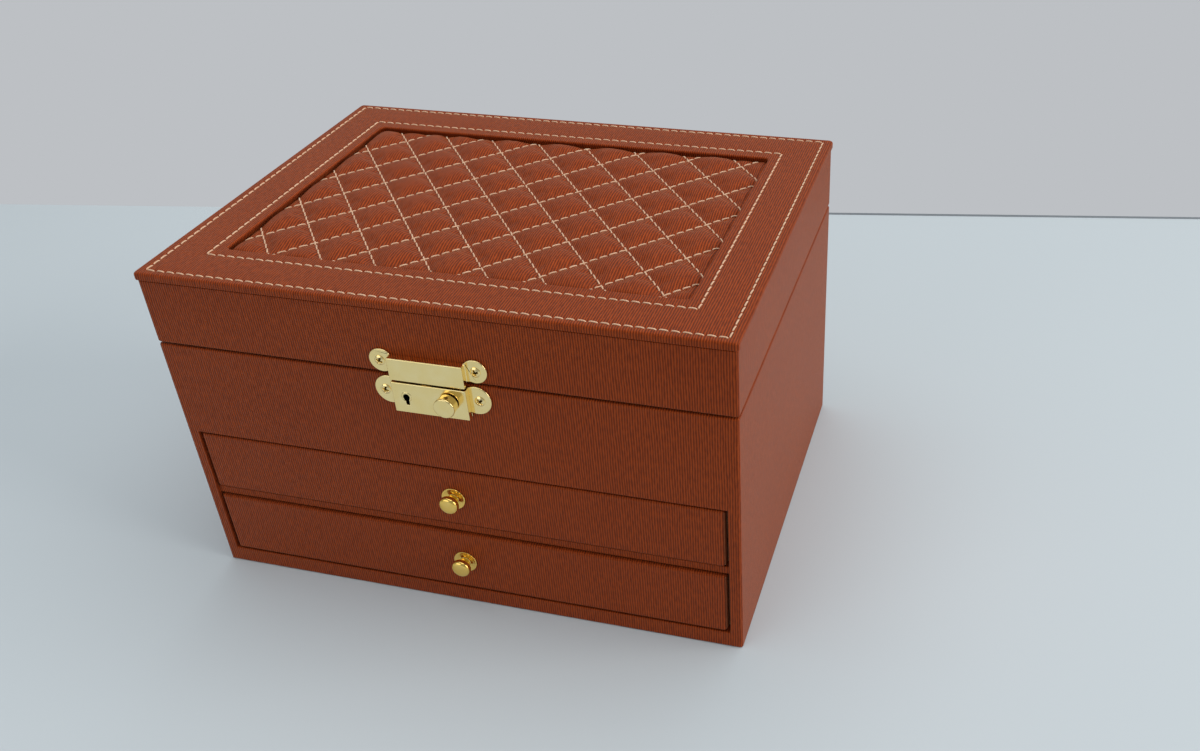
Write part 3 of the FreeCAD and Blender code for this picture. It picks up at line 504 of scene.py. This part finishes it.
# Quilted pad in the window: the leather over thin foam, sewn through in diamonds and glued to the lid.
# The seams hold it down and the foam swells each diamond, so it is blown up as cloth held at its seams.
QUILT_RIGHT = Vector((13.08, 14.46, 0)) * MM
QUILT_LEFT = Vector((-13.02, 16.39, 0)) * MM
QUILT_MIDDLE = Vector((10.24, -11.49, 0)) * MM
QUILT_ROWS = range(-9, 10)
PAD_LOW = pad_low.z
SEAM_HEIGHT = 151.25 * MM
RIM_HEIGHT = 150.5 * MM
RIM_SLOPE = 3 * MM
PAD_CROWN = 3.0 * MM
FIRST_CROWN = 0.6
FULLNESS = 0.7
CELL_STEPS = 12
# from the middle of a diamond to its furthest point, with a little to spare
CELL_REACH = (14 * MM, 16 * MM)
SLIVER = 0.08 * MM
RIM_WIDTH = 0.1 * MM
SEAM_SHARE = 0.2
PAD_SMOOTH = 70
CLOTH_SCALE = 20.0
CLOTH_FRAMES = 18


def quilt_point(a, b):
    """Place of a lattice point counted in diamonds along both seam directions."""
    return QUILT_MIDDLE + QUILT_RIGHT * a + QUILT_LEFT * b


def quilt_count(point):
    """Diamonds along both seam directions to a place on the pad."""
    spare = point - QUILT_MIDDLE
    area = QUILT_RIGHT.x * QUILT_LEFT.y - QUILT_RIGHT.y * QUILT_LEFT.x
    a = (spare.x * QUILT_LEFT.y - spare.y * QUILT_LEFT.x) / area
    b = (QUILT_RIGHT.x * spare.y - QUILT_RIGHT.y * spare.x) / area
    return a, b


def swell(a, b):
    """Share of the crown at a lattice point: none on a seam, all in the middle of a diamond."""
    return math.cos(math.pi * (a - round(a))) ** FULLNESS * math.cos(math.pi * (b - round(b))) ** FULLNESS


bm = bmesh.new()
grid = {}
for i in QUILT_ROWS:
    for j in QUILT_ROWS:
        centre = quilt_point(i, j)
        if any(abs(centre[axis]) > PAD_HALF[axis] + CELL_REACH[axis] for axis in (0, 1)):
            continue
        for m in range(CELL_STEPS + 1):
            for n in range(CELL_STEPS + 1):
                key = (i * CELL_STEPS + m, j * CELL_STEPS + n)
                if key not in grid:
                    a, b = i - 0.5 + m / CELL_STEPS, j - 0.5 + n / CELL_STEPS
                    point = quilt_point(a, b)
                    point.z = SEAM_HEIGHT + PAD_CROWN * FIRST_CROWN * max(swell(a, b), 0)
                    grid[key] = bm.verts.new(point)
        for m in range(CELL_STEPS):
            for n in range(CELL_STEPS):
                p, q = i * CELL_STEPS + m, j * CELL_STEPS + n
                bm.faces.new((grid[p, q], grid[p + 1, q], grid[p + 1, q + 1], grid[p, q + 1]))
for axis, half in enumerate(PAD_HALF):
    for sign in (1, -1):
        normal = Vector((0, 0, 0))
        normal[axis] = sign
        everything = bm.verts[:] + bm.edges[:] + bm.faces[:]
        bmesh.ops.bisect_plane(bm, geom=everything, plane_co=normal * half, plane_no=normal, clear_outer=True)
bmesh.ops.remove_doubles(bm, verts=bm.verts, dist=SLIVER)
for v in bm.verts:
    inside = min(PAD_HALF[0] - abs(v.co.x), PAD_HALF[1] - abs(v.co.y))
    fall = max(0.0, 1 - inside / RIM_SLOPE) ** 2
    v.co.z += (RIM_HEIGHT - v.co.z) * fall
pad = seat("quilted_cover", bm, leather, "lid", "leather", "quilted_pad", smooth=PAD_SMOOTH)


def on_seam(point):
    """True on a sewn line or at the rim, where the cover can't rise."""
    a, b = quilt_count(Vector((point.x, point.y, 0)))
    off_row = min(abs(a - 0.5 - round(a - 0.5)), abs(b - 0.5 - round(b - 0.5)))
    inside = min(PAD_HALF[0] - abs(point.x), PAD_HALF[1] - abs(point.y))
    return off_row < SEAM_SHARE / CELL_STEPS or inside < RIM_WIDTH


def blow_up(made, held, pressure, spare, most):
    """Cloth held at some points and pushed out by its filling; nothing moves further than most."""
    mesh = made.data
    rest = [v.co.copy() for v in mesh.vertices]
    for v in mesh.vertices:
        v.co *= CLOTH_SCALE
    parent = made.parent
    made.parent = None
    group = made.vertex_groups.new(name="sewn")
    group.add(held, 1.0, "REPLACE")
    cloth = made.modifiers.new("swell", "CLOTH")
    settings = cloth.settings
    settings.quality = 8
    settings.mass = 0.3
    settings.tension_stiffness = 30
    settings.compression_stiffness = 30
    settings.shear_stiffness = 15
    settings.bending_stiffness = 6
    settings.use_pressure = True
    settings.uniform_pressure_force = pressure
    settings.shrink_min = -spare
    settings.vertex_group_mass = "sewn"
    settings.effector_weights.gravity = 0
    cloth.collision_settings.use_collision = False
    for step in range(1, CLOTH_FRAMES + 1):
        bpy.context.scene.frame_set(step)
    swollen = made.evaluated_get(bpy.context.evaluated_depsgraph_get()).to_mesh()
    moved = [v.co / CLOTH_SCALE for v in swollen.vertices]
    made.evaluated_get(bpy.context.evaluated_depsgraph_get()).to_mesh_clear()
    made.modifiers.remove(cloth)
    made.vertex_groups.remove(group)
    made.parent = parent
    for v, before, after in zip(mesh.vertices, rest, moved):
        step = after - before
        v.co = before + step * min(1.0, most / max(step.length, SAME_PLACE))
    bpy.context.scene.frame_set(1)


held = [v.index for v in pad.data.vertices if on_seam(v.co)]
blow_up(pad, held, pressure=4.0, spare=0.04, most=1.2 * MM)

# the rim goes straight down to the lid, and a flat underside closes the pad
bm = bmesh.new()
bm.from_mesh(pad.data)
rim = [e for e in bm.edges if e.is_boundary]
for v in bmesh.ops.extrude_edge_only(bm, edges=rim)["geom"]:
    if isinstance(v, bmesh.types.BMVert):
        v.co.z = PAD_LOW
foot = [e for e in bm.edges if e.is_boundary]
bmesh.ops.triangle_fill(bm, edges=foot, use_beauty=True, normal=(0, 0, -1))
bmesh.ops.recalc_face_normals(bm, faces=bm.faces)
bm.to_mesh(pad.data)
bm.free()
pad.data.shade_smooth()
pad.data.set_sharp_from_angle(angle=math.radians(PAD_SMOOTH))
smoother = pad.modifiers.new("finer", "SUBSURF")
smoother.levels = smoother.render_levels = 1

# Quilting seams: the same thread and stitch as on the frame, in straight rows along both diagonals.
# They are sewn through cover and foam before the pad is glued in, and stop just inside its rim.
SEAM_MARGIN = 0.6 * MM
pad_surface = surface_of(pad)
bm = bmesh.new()
for along_row, between in ((QUILT_RIGHT, QUILT_LEFT), (QUILT_LEFT, QUILT_RIGHT)):
    for index in QUILT_ROWS:
        on_row = QUILT_MIDDLE + between * (index + 0.5)
        reaches = []
        for axis, half in enumerate(PAD_HALF):
            limits = [side * (half - SEAM_MARGIN) for side in (-1, 1)]
            reaches.append(sorted((limit - on_row[axis]) / along_row[axis] for limit in limits))
        first = max(reaches[0][0], reaches[1][0])
        last = min(reaches[0][1], reaches[1][1])
        if (last - first) * along_row.length > STITCH_PITCH:
            ends = (on_row + along_row * first, on_row + along_row * last)
            sew(bm, pad_surface, *sorted((end.x, end.y) for end in ends))
seat("quilting_stitches", bm, thread, "lid", None, smooth=THREAD_SMOOTH)

# Velvet in the compartment, the drawers and the lid: short beige pile on paper, glued over the boards.
# The dividers are board strips wrapped in it, so their tops are soft rolls.
BRUSHED_PATCH = 14 * MM
# single hairs are too fine to show, so the pile is drawn this coarse
PILE_WIDTH = 0.5 * MM
PILE_DEPTH = 0.2 * MM
VELVET_ROLL = 1.1 * MM
VELVET_STEPS = 4

# Short-pile velvet: beige and matt, pale at low angles, cloudy where the pile was brushed
velvet, tree, shader, place = new_finish(
    "velvet_short_pile",
    {"Roughness": 0.9, "Sheen Weight": 0.7, "Sheen Roughness": 0.35, "Sheen Tint": linear("#f4e6d2")},
)
brushed = add_node(
    tree, "TexNoise", {"Vector": place.outputs["Object"], "Scale": 1 / BRUSHED_PATCH, "Detail": 3.0}
)
pile = add_node(
    tree, "TexNoise", {"Vector": place.outputs["Object"], "Scale": 1 / PILE_WIDTH, "Detail": 3.0}
)
velvet_tone = add_node(
    tree,
    "Mix",
    {"Factor": brushed.outputs["Fac"], 6: linear("#b39a7c"), 7: linear("#d6c2a6")},
    data_type="RGBA",
)
tree.links.new(velvet_tone.outputs[2], shader.inputs["Base Color"])
velvet_bump = add_node(
    tree, "Bump", {"Height": pile.outputs["Fac"], "Distance": PILE_DEPTH, "Strength": 0.7}
)
tree.links.new(velvet_bump.outputs["Normal"], shader.inputs["Normal"])
dress(velvet, "compartment_lining", "bay_floor_lining", "lid_lining")
dress(velvet, *(f"{drawer}_lining" for drawer in DRAWERS))
for name, body, strips in (
    ("ring_bay_wall", "case", "ring_bay_divider"),
    ("tray_walls", "case", "tray_dividers"),
    ("upper_drawer_walls", "upper_drawer", "upper_drawer_dividers"),
    ("lower_drawer_walls", "lower_drawer", "lower_drawer_dividers"),
):
    seat(name, eased(strips, VELVET_ROLL, VELVET_STEPS), velvet, body, "velvet", strips)

# Ring rolls: ten foam rolls wrapped in the same velvet, laid side by side in the ring bay, so that rings
# stand in the slits between them. Each is pinched at its ends and flatter below, where it lies.
ROLLS = 10
ROLL_STEPS = 30
ROLL_SIDES = 28
ROLL_SMOOTH = 60
END_PINCH = 0.12
PINCH_LENGTH = 1.6 * MM
ROLL_FIT = 0.985
ROUND_SIDE = 0.75
FLAT_SIDE = 0.45
RIPPLE = 0.12 * MM
RIPPLE_TURN = 37
RIPPLE_SHIFT = 2.1
roll_low, roll_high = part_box("ring_rolls")
bm = bmesh.new()
pitch = (roll_high.y - roll_low.y) / ROLLS
for index in range(ROLLS):
    middle = roll_low.y + (index + 0.5) * pitch
    height = roll_high.z - roll_low.z
    loops = []
    for step in range(ROLL_STEPS + 1):
        share = step / ROLL_STEPS
        end = min(share, 1 - share) * (roll_high.x - roll_low.x)
        full = 1 - END_PINCH * math.exp(-end / PINCH_LENGTH)
        x = roll_low.x + share * (roll_high.x - roll_low.x)
        loop = []
        for side in range(ROLL_SIDES):
            turn = 2 * math.pi * side / ROLL_SIDES
            c, s = math.cos(turn), math.sin(turn)
            wide = pitch / 2 * ROLL_FIT * full * math.copysign(abs(c) ** ROUND_SIDE, c)
            tall = height / 2 * full * math.copysign(abs(s) ** (ROUND_SIDE if s > 0 else FLAT_SIDE), s)
            ripple = RIPPLE * math.sin(share * RIPPLE_TURN + index * RIPPLE_SHIFT + turn)
            z = max(roll_low.z, roll_low.z + height / 2 + tall + ripple)
            loop.append(bm.verts.new((x, middle + wide, z)))
        loops.append(loop)
    for low, high in zip(loops, loops[1:]):
        for a in range(ROLL_SIDES):
            b = (a + 1) % ROLL_SIDES
            bm.faces.new((low[a], low[b], high[b], high[a]))
    bm.faces.new(loops[0])
    bm.faces.new(loops[-1])
rolls = seat("ring_roll_cushions", bm, velvet, "case", "velvet", "ring_rolls", smooth=ROLL_SMOOTH)

# Mirror in the lid: a pane of 2.5 mm silvered glass with ground edges, glued to the lining.
# Silvered glass mirrors brightly and a little coolly, with a faint uneven haze.
HAZE_WIDTH = 30 * MM
GROUND_EDGE = 0.8 * MM
MIRROR_SMOOTH = 20
silvered, tree, shader, place = new_finish("glass_silvered", {"Metallic": 1.0, "Roughness": 0.03})
haze = add_node(tree, "TexNoise", {"Vector": place.outputs["Object"], "Scale": 1 / HAZE_WIDTH})
mirror_tone = add_node(
    tree, "Mix", {"Factor": haze.outputs["Fac"], 6: linear("#dfe5e6"), 7: linear("#eef2f2")}, data_type="RGBA"
)
tree.links.new(mirror_tone.outputs[2], shader.inputs["Base Color"])
pane = eased("mirror", GROUND_EDGE, 1)
seat("lid_mirror", pane, silvered, "lid", "mirror", "mirror", smooth=MIRROR_SMOOTH)

# Hinges on the back: two butt hinges stamped from brass sheet, with knuckles rolled round a pin.
# Each is held by two screws in the base and two in the lid.
SMEAR_WIDTH = 6 * MM
METAL_EASE = 0.24 * MM
METAL_STEPS = 2

# Plated, polished brass: pale gold and bright, with soft smears that blur what it mirrors
brass, tree, shader, place = new_finish("brass_plated_polished", {"Metallic": 1.0})
smear = add_node(
    tree, "TexNoise", {"Vector": place.outputs["Object"], "Scale": 1 / SMEAR_WIDTH, "Detail": 4.0}
)
brass_rough = add_node(tree, "MapRange", {"Value": smear.outputs["Fac"], "To Min": 0.1, "To Max": 0.2})
tree.links.new(brass_rough.outputs[0], shader.inputs["Roughness"])
brass_tone = add_node(
    tree,
    "Mix",
    {"Factor": smear.outputs["Fac"], 6: linear("#f8da8c"), 7: linear("#ffeab0")},
    data_type="RGBA",
)
tree.links.new(brass_tone.outputs[2], shader.inputs["Base Color"])
for name, body, leaves in (
    ("base_hinge_leaves", "case", "hinge_base_leaves"),
    ("lid_hinge_leaves", "lid", "hinge_lid_leaves"),
):
    seat(name, eased(leaves, METAL_EASE, METAL_STEPS), brass, body, "brass", leaves)
dress(brass, "hinge_pins")

# Lock and hasp: pressed brass sheet with polished pale gold plating; plates with round ears are screwed on,
# and covers stand out of them. The bolt and the lever behind the keyhole are stamped from the same sheet.
PLATE_EASE = 0.4 * MM
seat("lock_back_plate", eased("lock_plate", PLATE_EASE), brass, "case", "brass", "lock_plate")
seat("lock_front_cover", eased("lock_cover", METAL_EASE, METAL_STEPS), brass, "case", "brass", "lock_cover")
# the hasp's lower front edge, between these heights and in front of this plane, is drawn down into a lip
HASP_EDGE = (120.4 * MM, 121.1 * MM)
HASP_FACE = -95.6 * MM
HASP_LIP = 0.7 * MM
bm = eased("hasp_plate", PLATE_EASE)
lip = [v for v in bm.verts if HASP_EDGE[0] < v.co.z < HASP_EDGE[1] and v.co.y < HASP_FACE]
bmesh.ops.translate(bm, verts=lip, vec=(0, 0, -HASP_LIP))
seat("hasp_front", bm, brass, "lid", "brass", "hasp_plate")

# Painted shade: brass coloured near black and a little patchy, for the shade seen through the keyhole and the
# latch's slot and deep in the screws' cross recesses
SHADE_PATCH = 2 * MM
shade_brass, tree, shader, place = new_finish("brass_dark_painted_shade", {"Metallic": 1.0, "Roughness": 0.45})
shade_patches = add_node(tree, "TexNoise", {"Vector": place.outputs["Object"], "Scale": 1 / SHADE_PATCH, "Detail": 3.0})
shade_tone = add_node(
    tree, "Mix", {"Factor": shade_patches.outputs["Fac"], 6: linear("#2c2210"), 7: linear("#4a3a1c")}, data_type="RGBA"
)
tree.links.new(shade_tone.outputs[2], shader.inputs["Base Color"])
# the bolt and the lever take the near-black brass: painted shade behind the keyhole and the slot
dress(shade_brass, "latch_bolt", "lock_lever")

# Screws of the lock, the hasp and the hinges: small brass pan heads with a cross recess, plated like the
# plates and driven into the boards, each turned as far as it went. The cross is coloured near black: painted
# shade.
HEAD_TURNS = 48
HEAD_RINGS = 14
CROSS_REACH = 0.66
CROSS_WIDTH = 0.2
CROSS_DEPTH = 0.9 * MM
CROSS_WALL = 0.06
CROSS_END = 0.12
SUNK_SHARE = 0.3
HEAD_EDGE = 0.25
DOME_POWER = 2.6
# from under the head to the tip: share of the head's radius, and height
SHANK_SECTION = ((1.0, 0.0), (0.45, 0.0), (0.42, -4.5 * MM), (0.05, -4.9 * MM))


def pan_head(bm, origin, outward, radius, rise, angle):
    """Domed head with a cross recess, seated at origin, and its shank behind."""
    beside = outward.orthogonal().normalized()
    above = outward.cross(beside)
    loops = []
    sunk = set()
    for step in range(HEAD_RINGS + 1):
        reach = 1 - step / HEAD_RINGS
        loop = []
        for index in range(HEAD_TURNS):
            turn = 2 * math.pi * index / HEAD_TURNS
            x, y = reach * math.cos(turn), reach * math.sin(turn)
            one = abs(x * math.cos(angle) - y * math.sin(angle))
            other = abs(x * math.sin(angle) + y * math.cos(angle))
            in_width = max(0.0, min(1.0, (CROSS_WIDTH - min(one, other)) / CROSS_WALL))
            in_reach = max(0.0, min(1.0, (CROSS_REACH - max(one, other)) / CROSS_END))
            cut = in_width * in_reach
            dome = HEAD_EDGE + (1 - HEAD_EDGE) * (1 - reach ** DOME_POWER)
            height = rise * dome - CROSS_DEPTH * cut
            loop.append(bm.verts.new(origin + (beside * x + above * y) * radius + outward * height))
            if cut > SUNK_SHARE:
                sunk.add(loop[-1])
        loops.append(loop)
    for reach, height in SHANK_SECTION:
        loops.insert(0, [])
        for index in range(HEAD_TURNS):
            turn = 2 * math.pi * index / HEAD_TURNS
            point = (beside * math.cos(turn) + above * math.sin(turn)) * (radius * reach)
            loops[0].append(bm.verts.new(origin + point + outward * height))
    for low, high in zip(loops[:-1], loops[1:-1]):
        for a in range(HEAD_TURNS):
            b = (a + 1) % HEAD_TURNS
            face = bm.faces.new((low[a], low[b], high[b], high[a]))
            # faces deep in the cross take the second finish, near-black brass: painted shade in the recess
            face.material_index = int(sunk.issuperset(face.verts))
    bm.faces.new(loops[0])
    bmesh.ops.delete(bm, geom=loops[-1], context="VERTS")
    centre = bm.verts.new(origin + outward * (rise - CROSS_DEPTH))
    # the bottom of the cross is painted shade as well
    for a in range(HEAD_TURNS):
        bm.faces.new((loops[-2][a], loops[-2][(a + 1) % HEAD_TURNS], centre)).material_index = 1


def set_screws(name, body, places, outward, radius, rise):
    """One group of like screws, each with its cross at its own angle."""
    bm = bmesh.new()
    for spot in places:
        pan_head(bm, Vector(spot), Vector(outward), radius, rise, draw.uniform(*CROSS_ANGLES))
    heads = seat(f"{name}_cross_heads", bm, brass, body, "brass", name, smooth=SCREW_SMOOTH)
    # second finish: near-black brass, painted shade in the cross recesses
    heads.data.materials.append(shade_brass)


CROSS_ANGLES = (0, 1.5)
SCREW_SMOOTH = 35
EAR_X = 20.4 * MM
EAR_SEAT = -95.0 * MM
EAR_HEAD = (2.2 * MM, 0.8 * MM)
LOCK_EAR_Z = 113.3 * MM
HASP_EAR_Z = 126.9 * MM
FORWARD = (0, -1, 0)
REARWARD = (0, 1, 0)
for name, body, height in (("lock_screws", "case", LOCK_EAR_Z), ("hasp_screws", "lid", HASP_EAR_Z)):
    places = [(side * EAR_X, EAR_SEAT, height) for side in (-1, 1)]
    set_screws(name, body, places, FORWARD, *EAR_HEAD)
HINGE_SCREWS_X = (-83 * MM, -67 * MM, 67 * MM, 83 * MM)
HINGE_SEAT = 94.9 * MM
HINGE_HEAD = (1.7 * MM, 0.55 * MM)
for name, body in (("hinge_base_screws", "case"), ("hinge_lid_screws", "lid")):
    low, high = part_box(name)
    places = [(x, HINGE_SEAT, (low.z + high.z) / 2) for x in HINGE_SCREWS_X]
    set_screws(name, body, places, REARWARD, *HINGE_HEAD)

# Latch knob and drawer knobs: turned brass. The latch knob is on the bolt behind the lock's cover;
# each drawer knob has a dished flange and a mushroom head, pulled tight by a screw from inside.
CASE_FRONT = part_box("body_leather")[0].y
TURN_STEPS = 64
KNOB_SMOOTH = 30
TURNING_WIDTH = 4 * MM


def lathe(profile, x, z):
    """Turned piece that stands out of the case's front; the profile is radius and height in millimetres."""
    bm = bmesh.new()
    loops = []
    for radius, out in profile:
        loop = []
        for index in range(TURN_STEPS):
            turn = 2 * math.pi * index / TURN_STEPS
            spot = (x + radius * MM * math.cos(turn), CASE_FRONT - out * MM, z + radius * MM * math.sin(turn))
            loop.append(bm.verts.new(spot))
        loops.append(loop)
    for low, high in zip(loops, loops[1:]):
        for a in range(TURN_STEPS):
            b = (a + 1) % TURN_STEPS
            bm.faces.new((low[a], low[b], high[b], high[a]))
    bm.faces.new(loops[0])
    bm.faces.new(loops[-1])
    return bm


# Turned brass: yellower and brighter than the plated sheet, with small sharp highlights
gilt, tree, shader, place = new_finish("brass_turned_bright", {"Metallic": 1.0})
turning = add_node(
    tree, "TexNoise", {"Vector": place.outputs["Object"], "Scale": 1 / TURNING_WIDTH, "Detail": 3.0}
)
gilt_rough = add_node(tree, "MapRange", {"Value": turning.outputs["Fac"], "To Min": 0.08, "To Max": 0.18})
tree.links.new(gilt_rough.outputs[0], shader.inputs["Roughness"])
gilt_tone = add_node(
    tree,
    "Mix",
    {"Factor": turning.outputs["Fac"], 6: linear("#f0c250"), 7: linear("#ffdc86")},
    data_type="RGBA",
)
tree.links.new(gilt_tone.outputs[2], shader.inputs["Base Color"])

LATCH_PLACE = (8.2 * MM, 112.8 * MM)
LATCH_PROFILE = (
    (1.2, 2.7), (1.2, 4.35), (3.9, 4.35), (4.2, 4.45), (4.3, 4.7), (4.3, 6.4), (4.34, 7.2),
    (4.45, 7.6), (4.45, 8.1), (4.36, 8.36), (4.15, 8.56), (3.85, 8.65), (2.0, 8.68),
)
latch = lathe(LATCH_PROFILE, *LATCH_PLACE)
seat("latch_knob_turned", latch, brass, "latch", "brass", "latch_knob", smooth=KNOB_SMOOTH)
KNOB_PROFILE = (
    (5.2, 0.0), (5.35, 0.12), (5.35, 0.55), (5.22, 0.75), (4.95, 0.82), (4.6, 0.78), (3.8, 0.62),
    (3.0, 0.55), (2.5, 0.62), (2.3, 0.85), (2.25, 1.3), (2.25, 2.7), (2.35, 3.05), (2.7, 3.25),
    (3.5, 3.35), (3.95, 3.6), (4.15, 3.95), (4.2, 4.4), (4.2, 5.2), (4.12, 5.6), (3.9, 5.98),
    (3.55, 6.28), (3.0, 6.5), (2.2, 6.63), (1.0, 6.7),
)
for drawer in DRAWERS:
    knob = f"{drawer}_knob"
    low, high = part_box(f"{drawer}_front_leather")
    turned = lathe(KNOB_PROFILE, 0, (low.z + high.z) / 2)
    seat(f"{knob}_turned", turned, gilt, drawer, "brass", knob, smooth=KNOB_SMOOTH)
dress(brass, *(f"{drawer}_knob_screw" for drawer in DRAWERS))

# Table: a plain pale top whose far edge, a little askew to the case, has a thin grey strip along it, painted
# shade for the dark line where the top ends.
# Matt paint on board is pale grey, with a faint unevenness half a metre across.
MOTTLE_WIDTH = 500 * MM
EDGE_SHADE_MOTTLE = 25 * MM
paint, tree, shader, place = new_finish("paint_pale_matt", {"Roughness": 0.7, "Specular IOR Level": 0.3})
mottle = add_node(
    tree, "TexNoise", {"Vector": place.outputs["Object"], "Scale": 1 / MOTTLE_WIDTH, "Detail": 2.0}
)
paint_tone = add_node(
    tree,
    "Mix",
    {"Factor": mottle.outputs["Fac"], 6: linear("#cad3d8"), 7: linear("#d0d9de")},
    data_type="RGBA",
)
tree.links.new(paint_tone.outputs[2], shader.inputs["Base Color"])

# Painted shade: a thin grey strip for the dark line at the table's far edge, a little uneven in tone
edge_shade, tree, shader, place = new_finish("edge_line_painted_shade", {"Roughness": 0.6})
edge_shade_mottle = add_node(
    tree, "TexNoise", {"Vector": place.outputs["Object"], "Scale": 1 / EDGE_SHADE_MOTTLE, "Detail": 2.0}
)
edge_shade_tone = add_node(
    tree,
    "Mix",
    {"Factor": edge_shade_mottle.outputs["Fac"], 6: linear("#8d9298"), 7: linear("#9ca1a6")},
    data_type="RGBA",
)
tree.links.new(edge_shade_tone.outputs[2], shader.inputs["Base Color"])


def sheet_of(name, finish, corners):
    """Flat four-cornered panel of the set."""
    mesh = bpy.data.meshes.new(name)
    mesh.from_pydata(corners, [], [(0, 1, 2, 3)])
    mesh.materials.append(finish)
    made = bpy.data.objects.new(name, mesh)
    bpy.context.scene.collection.objects.link(made)
    made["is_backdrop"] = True


TABLE_FRONT = -1.6
TABLE_ENDS = ((-1.6, 0.029), (1.6, 0.599))
STRIP_HEIGHT = 1.5 * MM
edge = [(x, y, 0) for x, y in TABLE_ENDS]
front = [(x, TABLE_FRONT, 0) for x, y in TABLE_ENDS]
sheet_of("table_top", paint, front + edge[::-1])
# the grey strip along the right half of the far edge is painted shade, a thin dark line
strip_foot = [tuple((a + b) / 2 for a, b in zip(*edge)), edge[1]]
sheet_of("table_edge_shade_line", edge_shade, strip_foot + [(x, y, STRIP_HEIGHT) for x, y, z in reversed(strip_foot)])


# Studio light: a soft panel overhead, large windows to the right and in front, a dim room all round and
# a far pale wall behind the table.
def lamp(name, place, aim, size, power, colour):
    """Soft rectangular light that faces a point."""
    data = bpy.data.lights.new(name, "AREA")
    data.shape = "RECTANGLE"
    data.size, data.size_y = size
    data.energy = power
    data.color = linear(colour)[:3]
    made = bpy.data.objects.new(name, data)
    made.location = place
    made.rotation_euler = (Vector(aim) - Vector(place)).to_track_quat("-Z", "Y").to_euler()
    bpy.context.scene.collection.objects.link(made)


# places and sizes are in metres, and power is in watts
CASE_FOOT = (0, 0, 0)
CASE_MIDDLE = (0, 0, 0.1)
WINDOW_SIZE = (2.0, 1.6)
lamp("overhead_panel", place=(0.1, 0.2, 1.5), aim=CASE_FOOT, size=(1.8, 1.6), power=12.7, colour="#ffffff")
lamp("right_window", place=(2.8, 0.0, 1.1), aim=CASE_MIDDLE, size=WINDOW_SIZE, power=45, colour="#fffaf4")
lamp("front_room", place=(-1.3, -2.2, 1.0), aim=CASE_MIDDLE, size=WINDOW_SIZE, power=10, colour="#ffffff")
world = bpy.data.worlds.new("room")
world.use_nodes = True
bpy.context.scene.world = world
tree = world.node_tree
room = add_node(tree, "Background", {"Color": linear("#dfe6ea"), "Strength": 0.45})
far_wall = add_node(tree, "Background", {"Color": linear("#bdc0c4"), "Strength": 1.0})
path = add_node(tree, "LightPath")
seen = add_node(
    tree, "MixShader", {0: path.outputs["Is Camera Ray"], 1: room.outputs[0], 2: far_wall.outputs[0]}
)
tree.links.new(seen.outputs[0], tree.nodes["World Output"].inputs["Surface"])
bpy.context.scene.view_settings.view_transform = "Standard"

# Camera: at the height and angle of a person standing at the table, turned a little to the right.
# Its angles are in radians, and its focal length and the offset of its centre in pixels of the image.
IMAGE_WIDTH = 1200
SENSOR_WIDTH = 36.0
FOCAL_PIXELS = 1184.42
AZIMUTH, ELEVATION, TILT = 0.2801579, 0.6074857, -0.0330954
DISTANCE = 556.934 * MM
TARGET = Vector((86.6179, 0, 57.1934)) * MM
CENTRE_OFFSET = (109.268, 29.604)
level = math.cos(ELEVATION)
back = Vector((math.sin(AZIMUTH) * level, -math.cos(AZIMUTH) * level, math.sin(ELEVATION)))
right = (-back).cross(Vector((0, 0, 1))).normalized()
up = right.cross(-back)
level_x = right * math.cos(TILT) + up * math.sin(TILT)
level_y = up * math.cos(TILT) - right * math.sin(TILT)
camera_data = bpy.data.cameras.new("camera")
camera_data.sensor_fit = "HORIZONTAL"
camera_data.sensor_width = SENSOR_WIDTH
camera_data.lens = FOCAL_PIXELS / IMAGE_WIDTH * SENSOR_WIDTH
camera_data.shift_x = -CENTRE_OFFSET[0] / IMAGE_WIDTH
camera_data.shift_y = CENTRE_OFFSET[1] / IMAGE_WIDTH
camera = bpy.data.objects.new("camera", camera_data)
turn = Matrix((level_x, level_y, back)).transposed().to_4x4()
camera.matrix_world = Matrix.Translation(TARGET + back * DISTANCE) @ turn
bpy.context.scene.collection.objects.link(camera)
bpy.context.scene.camera = camera

# Box of everything drawn except the table
low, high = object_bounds()
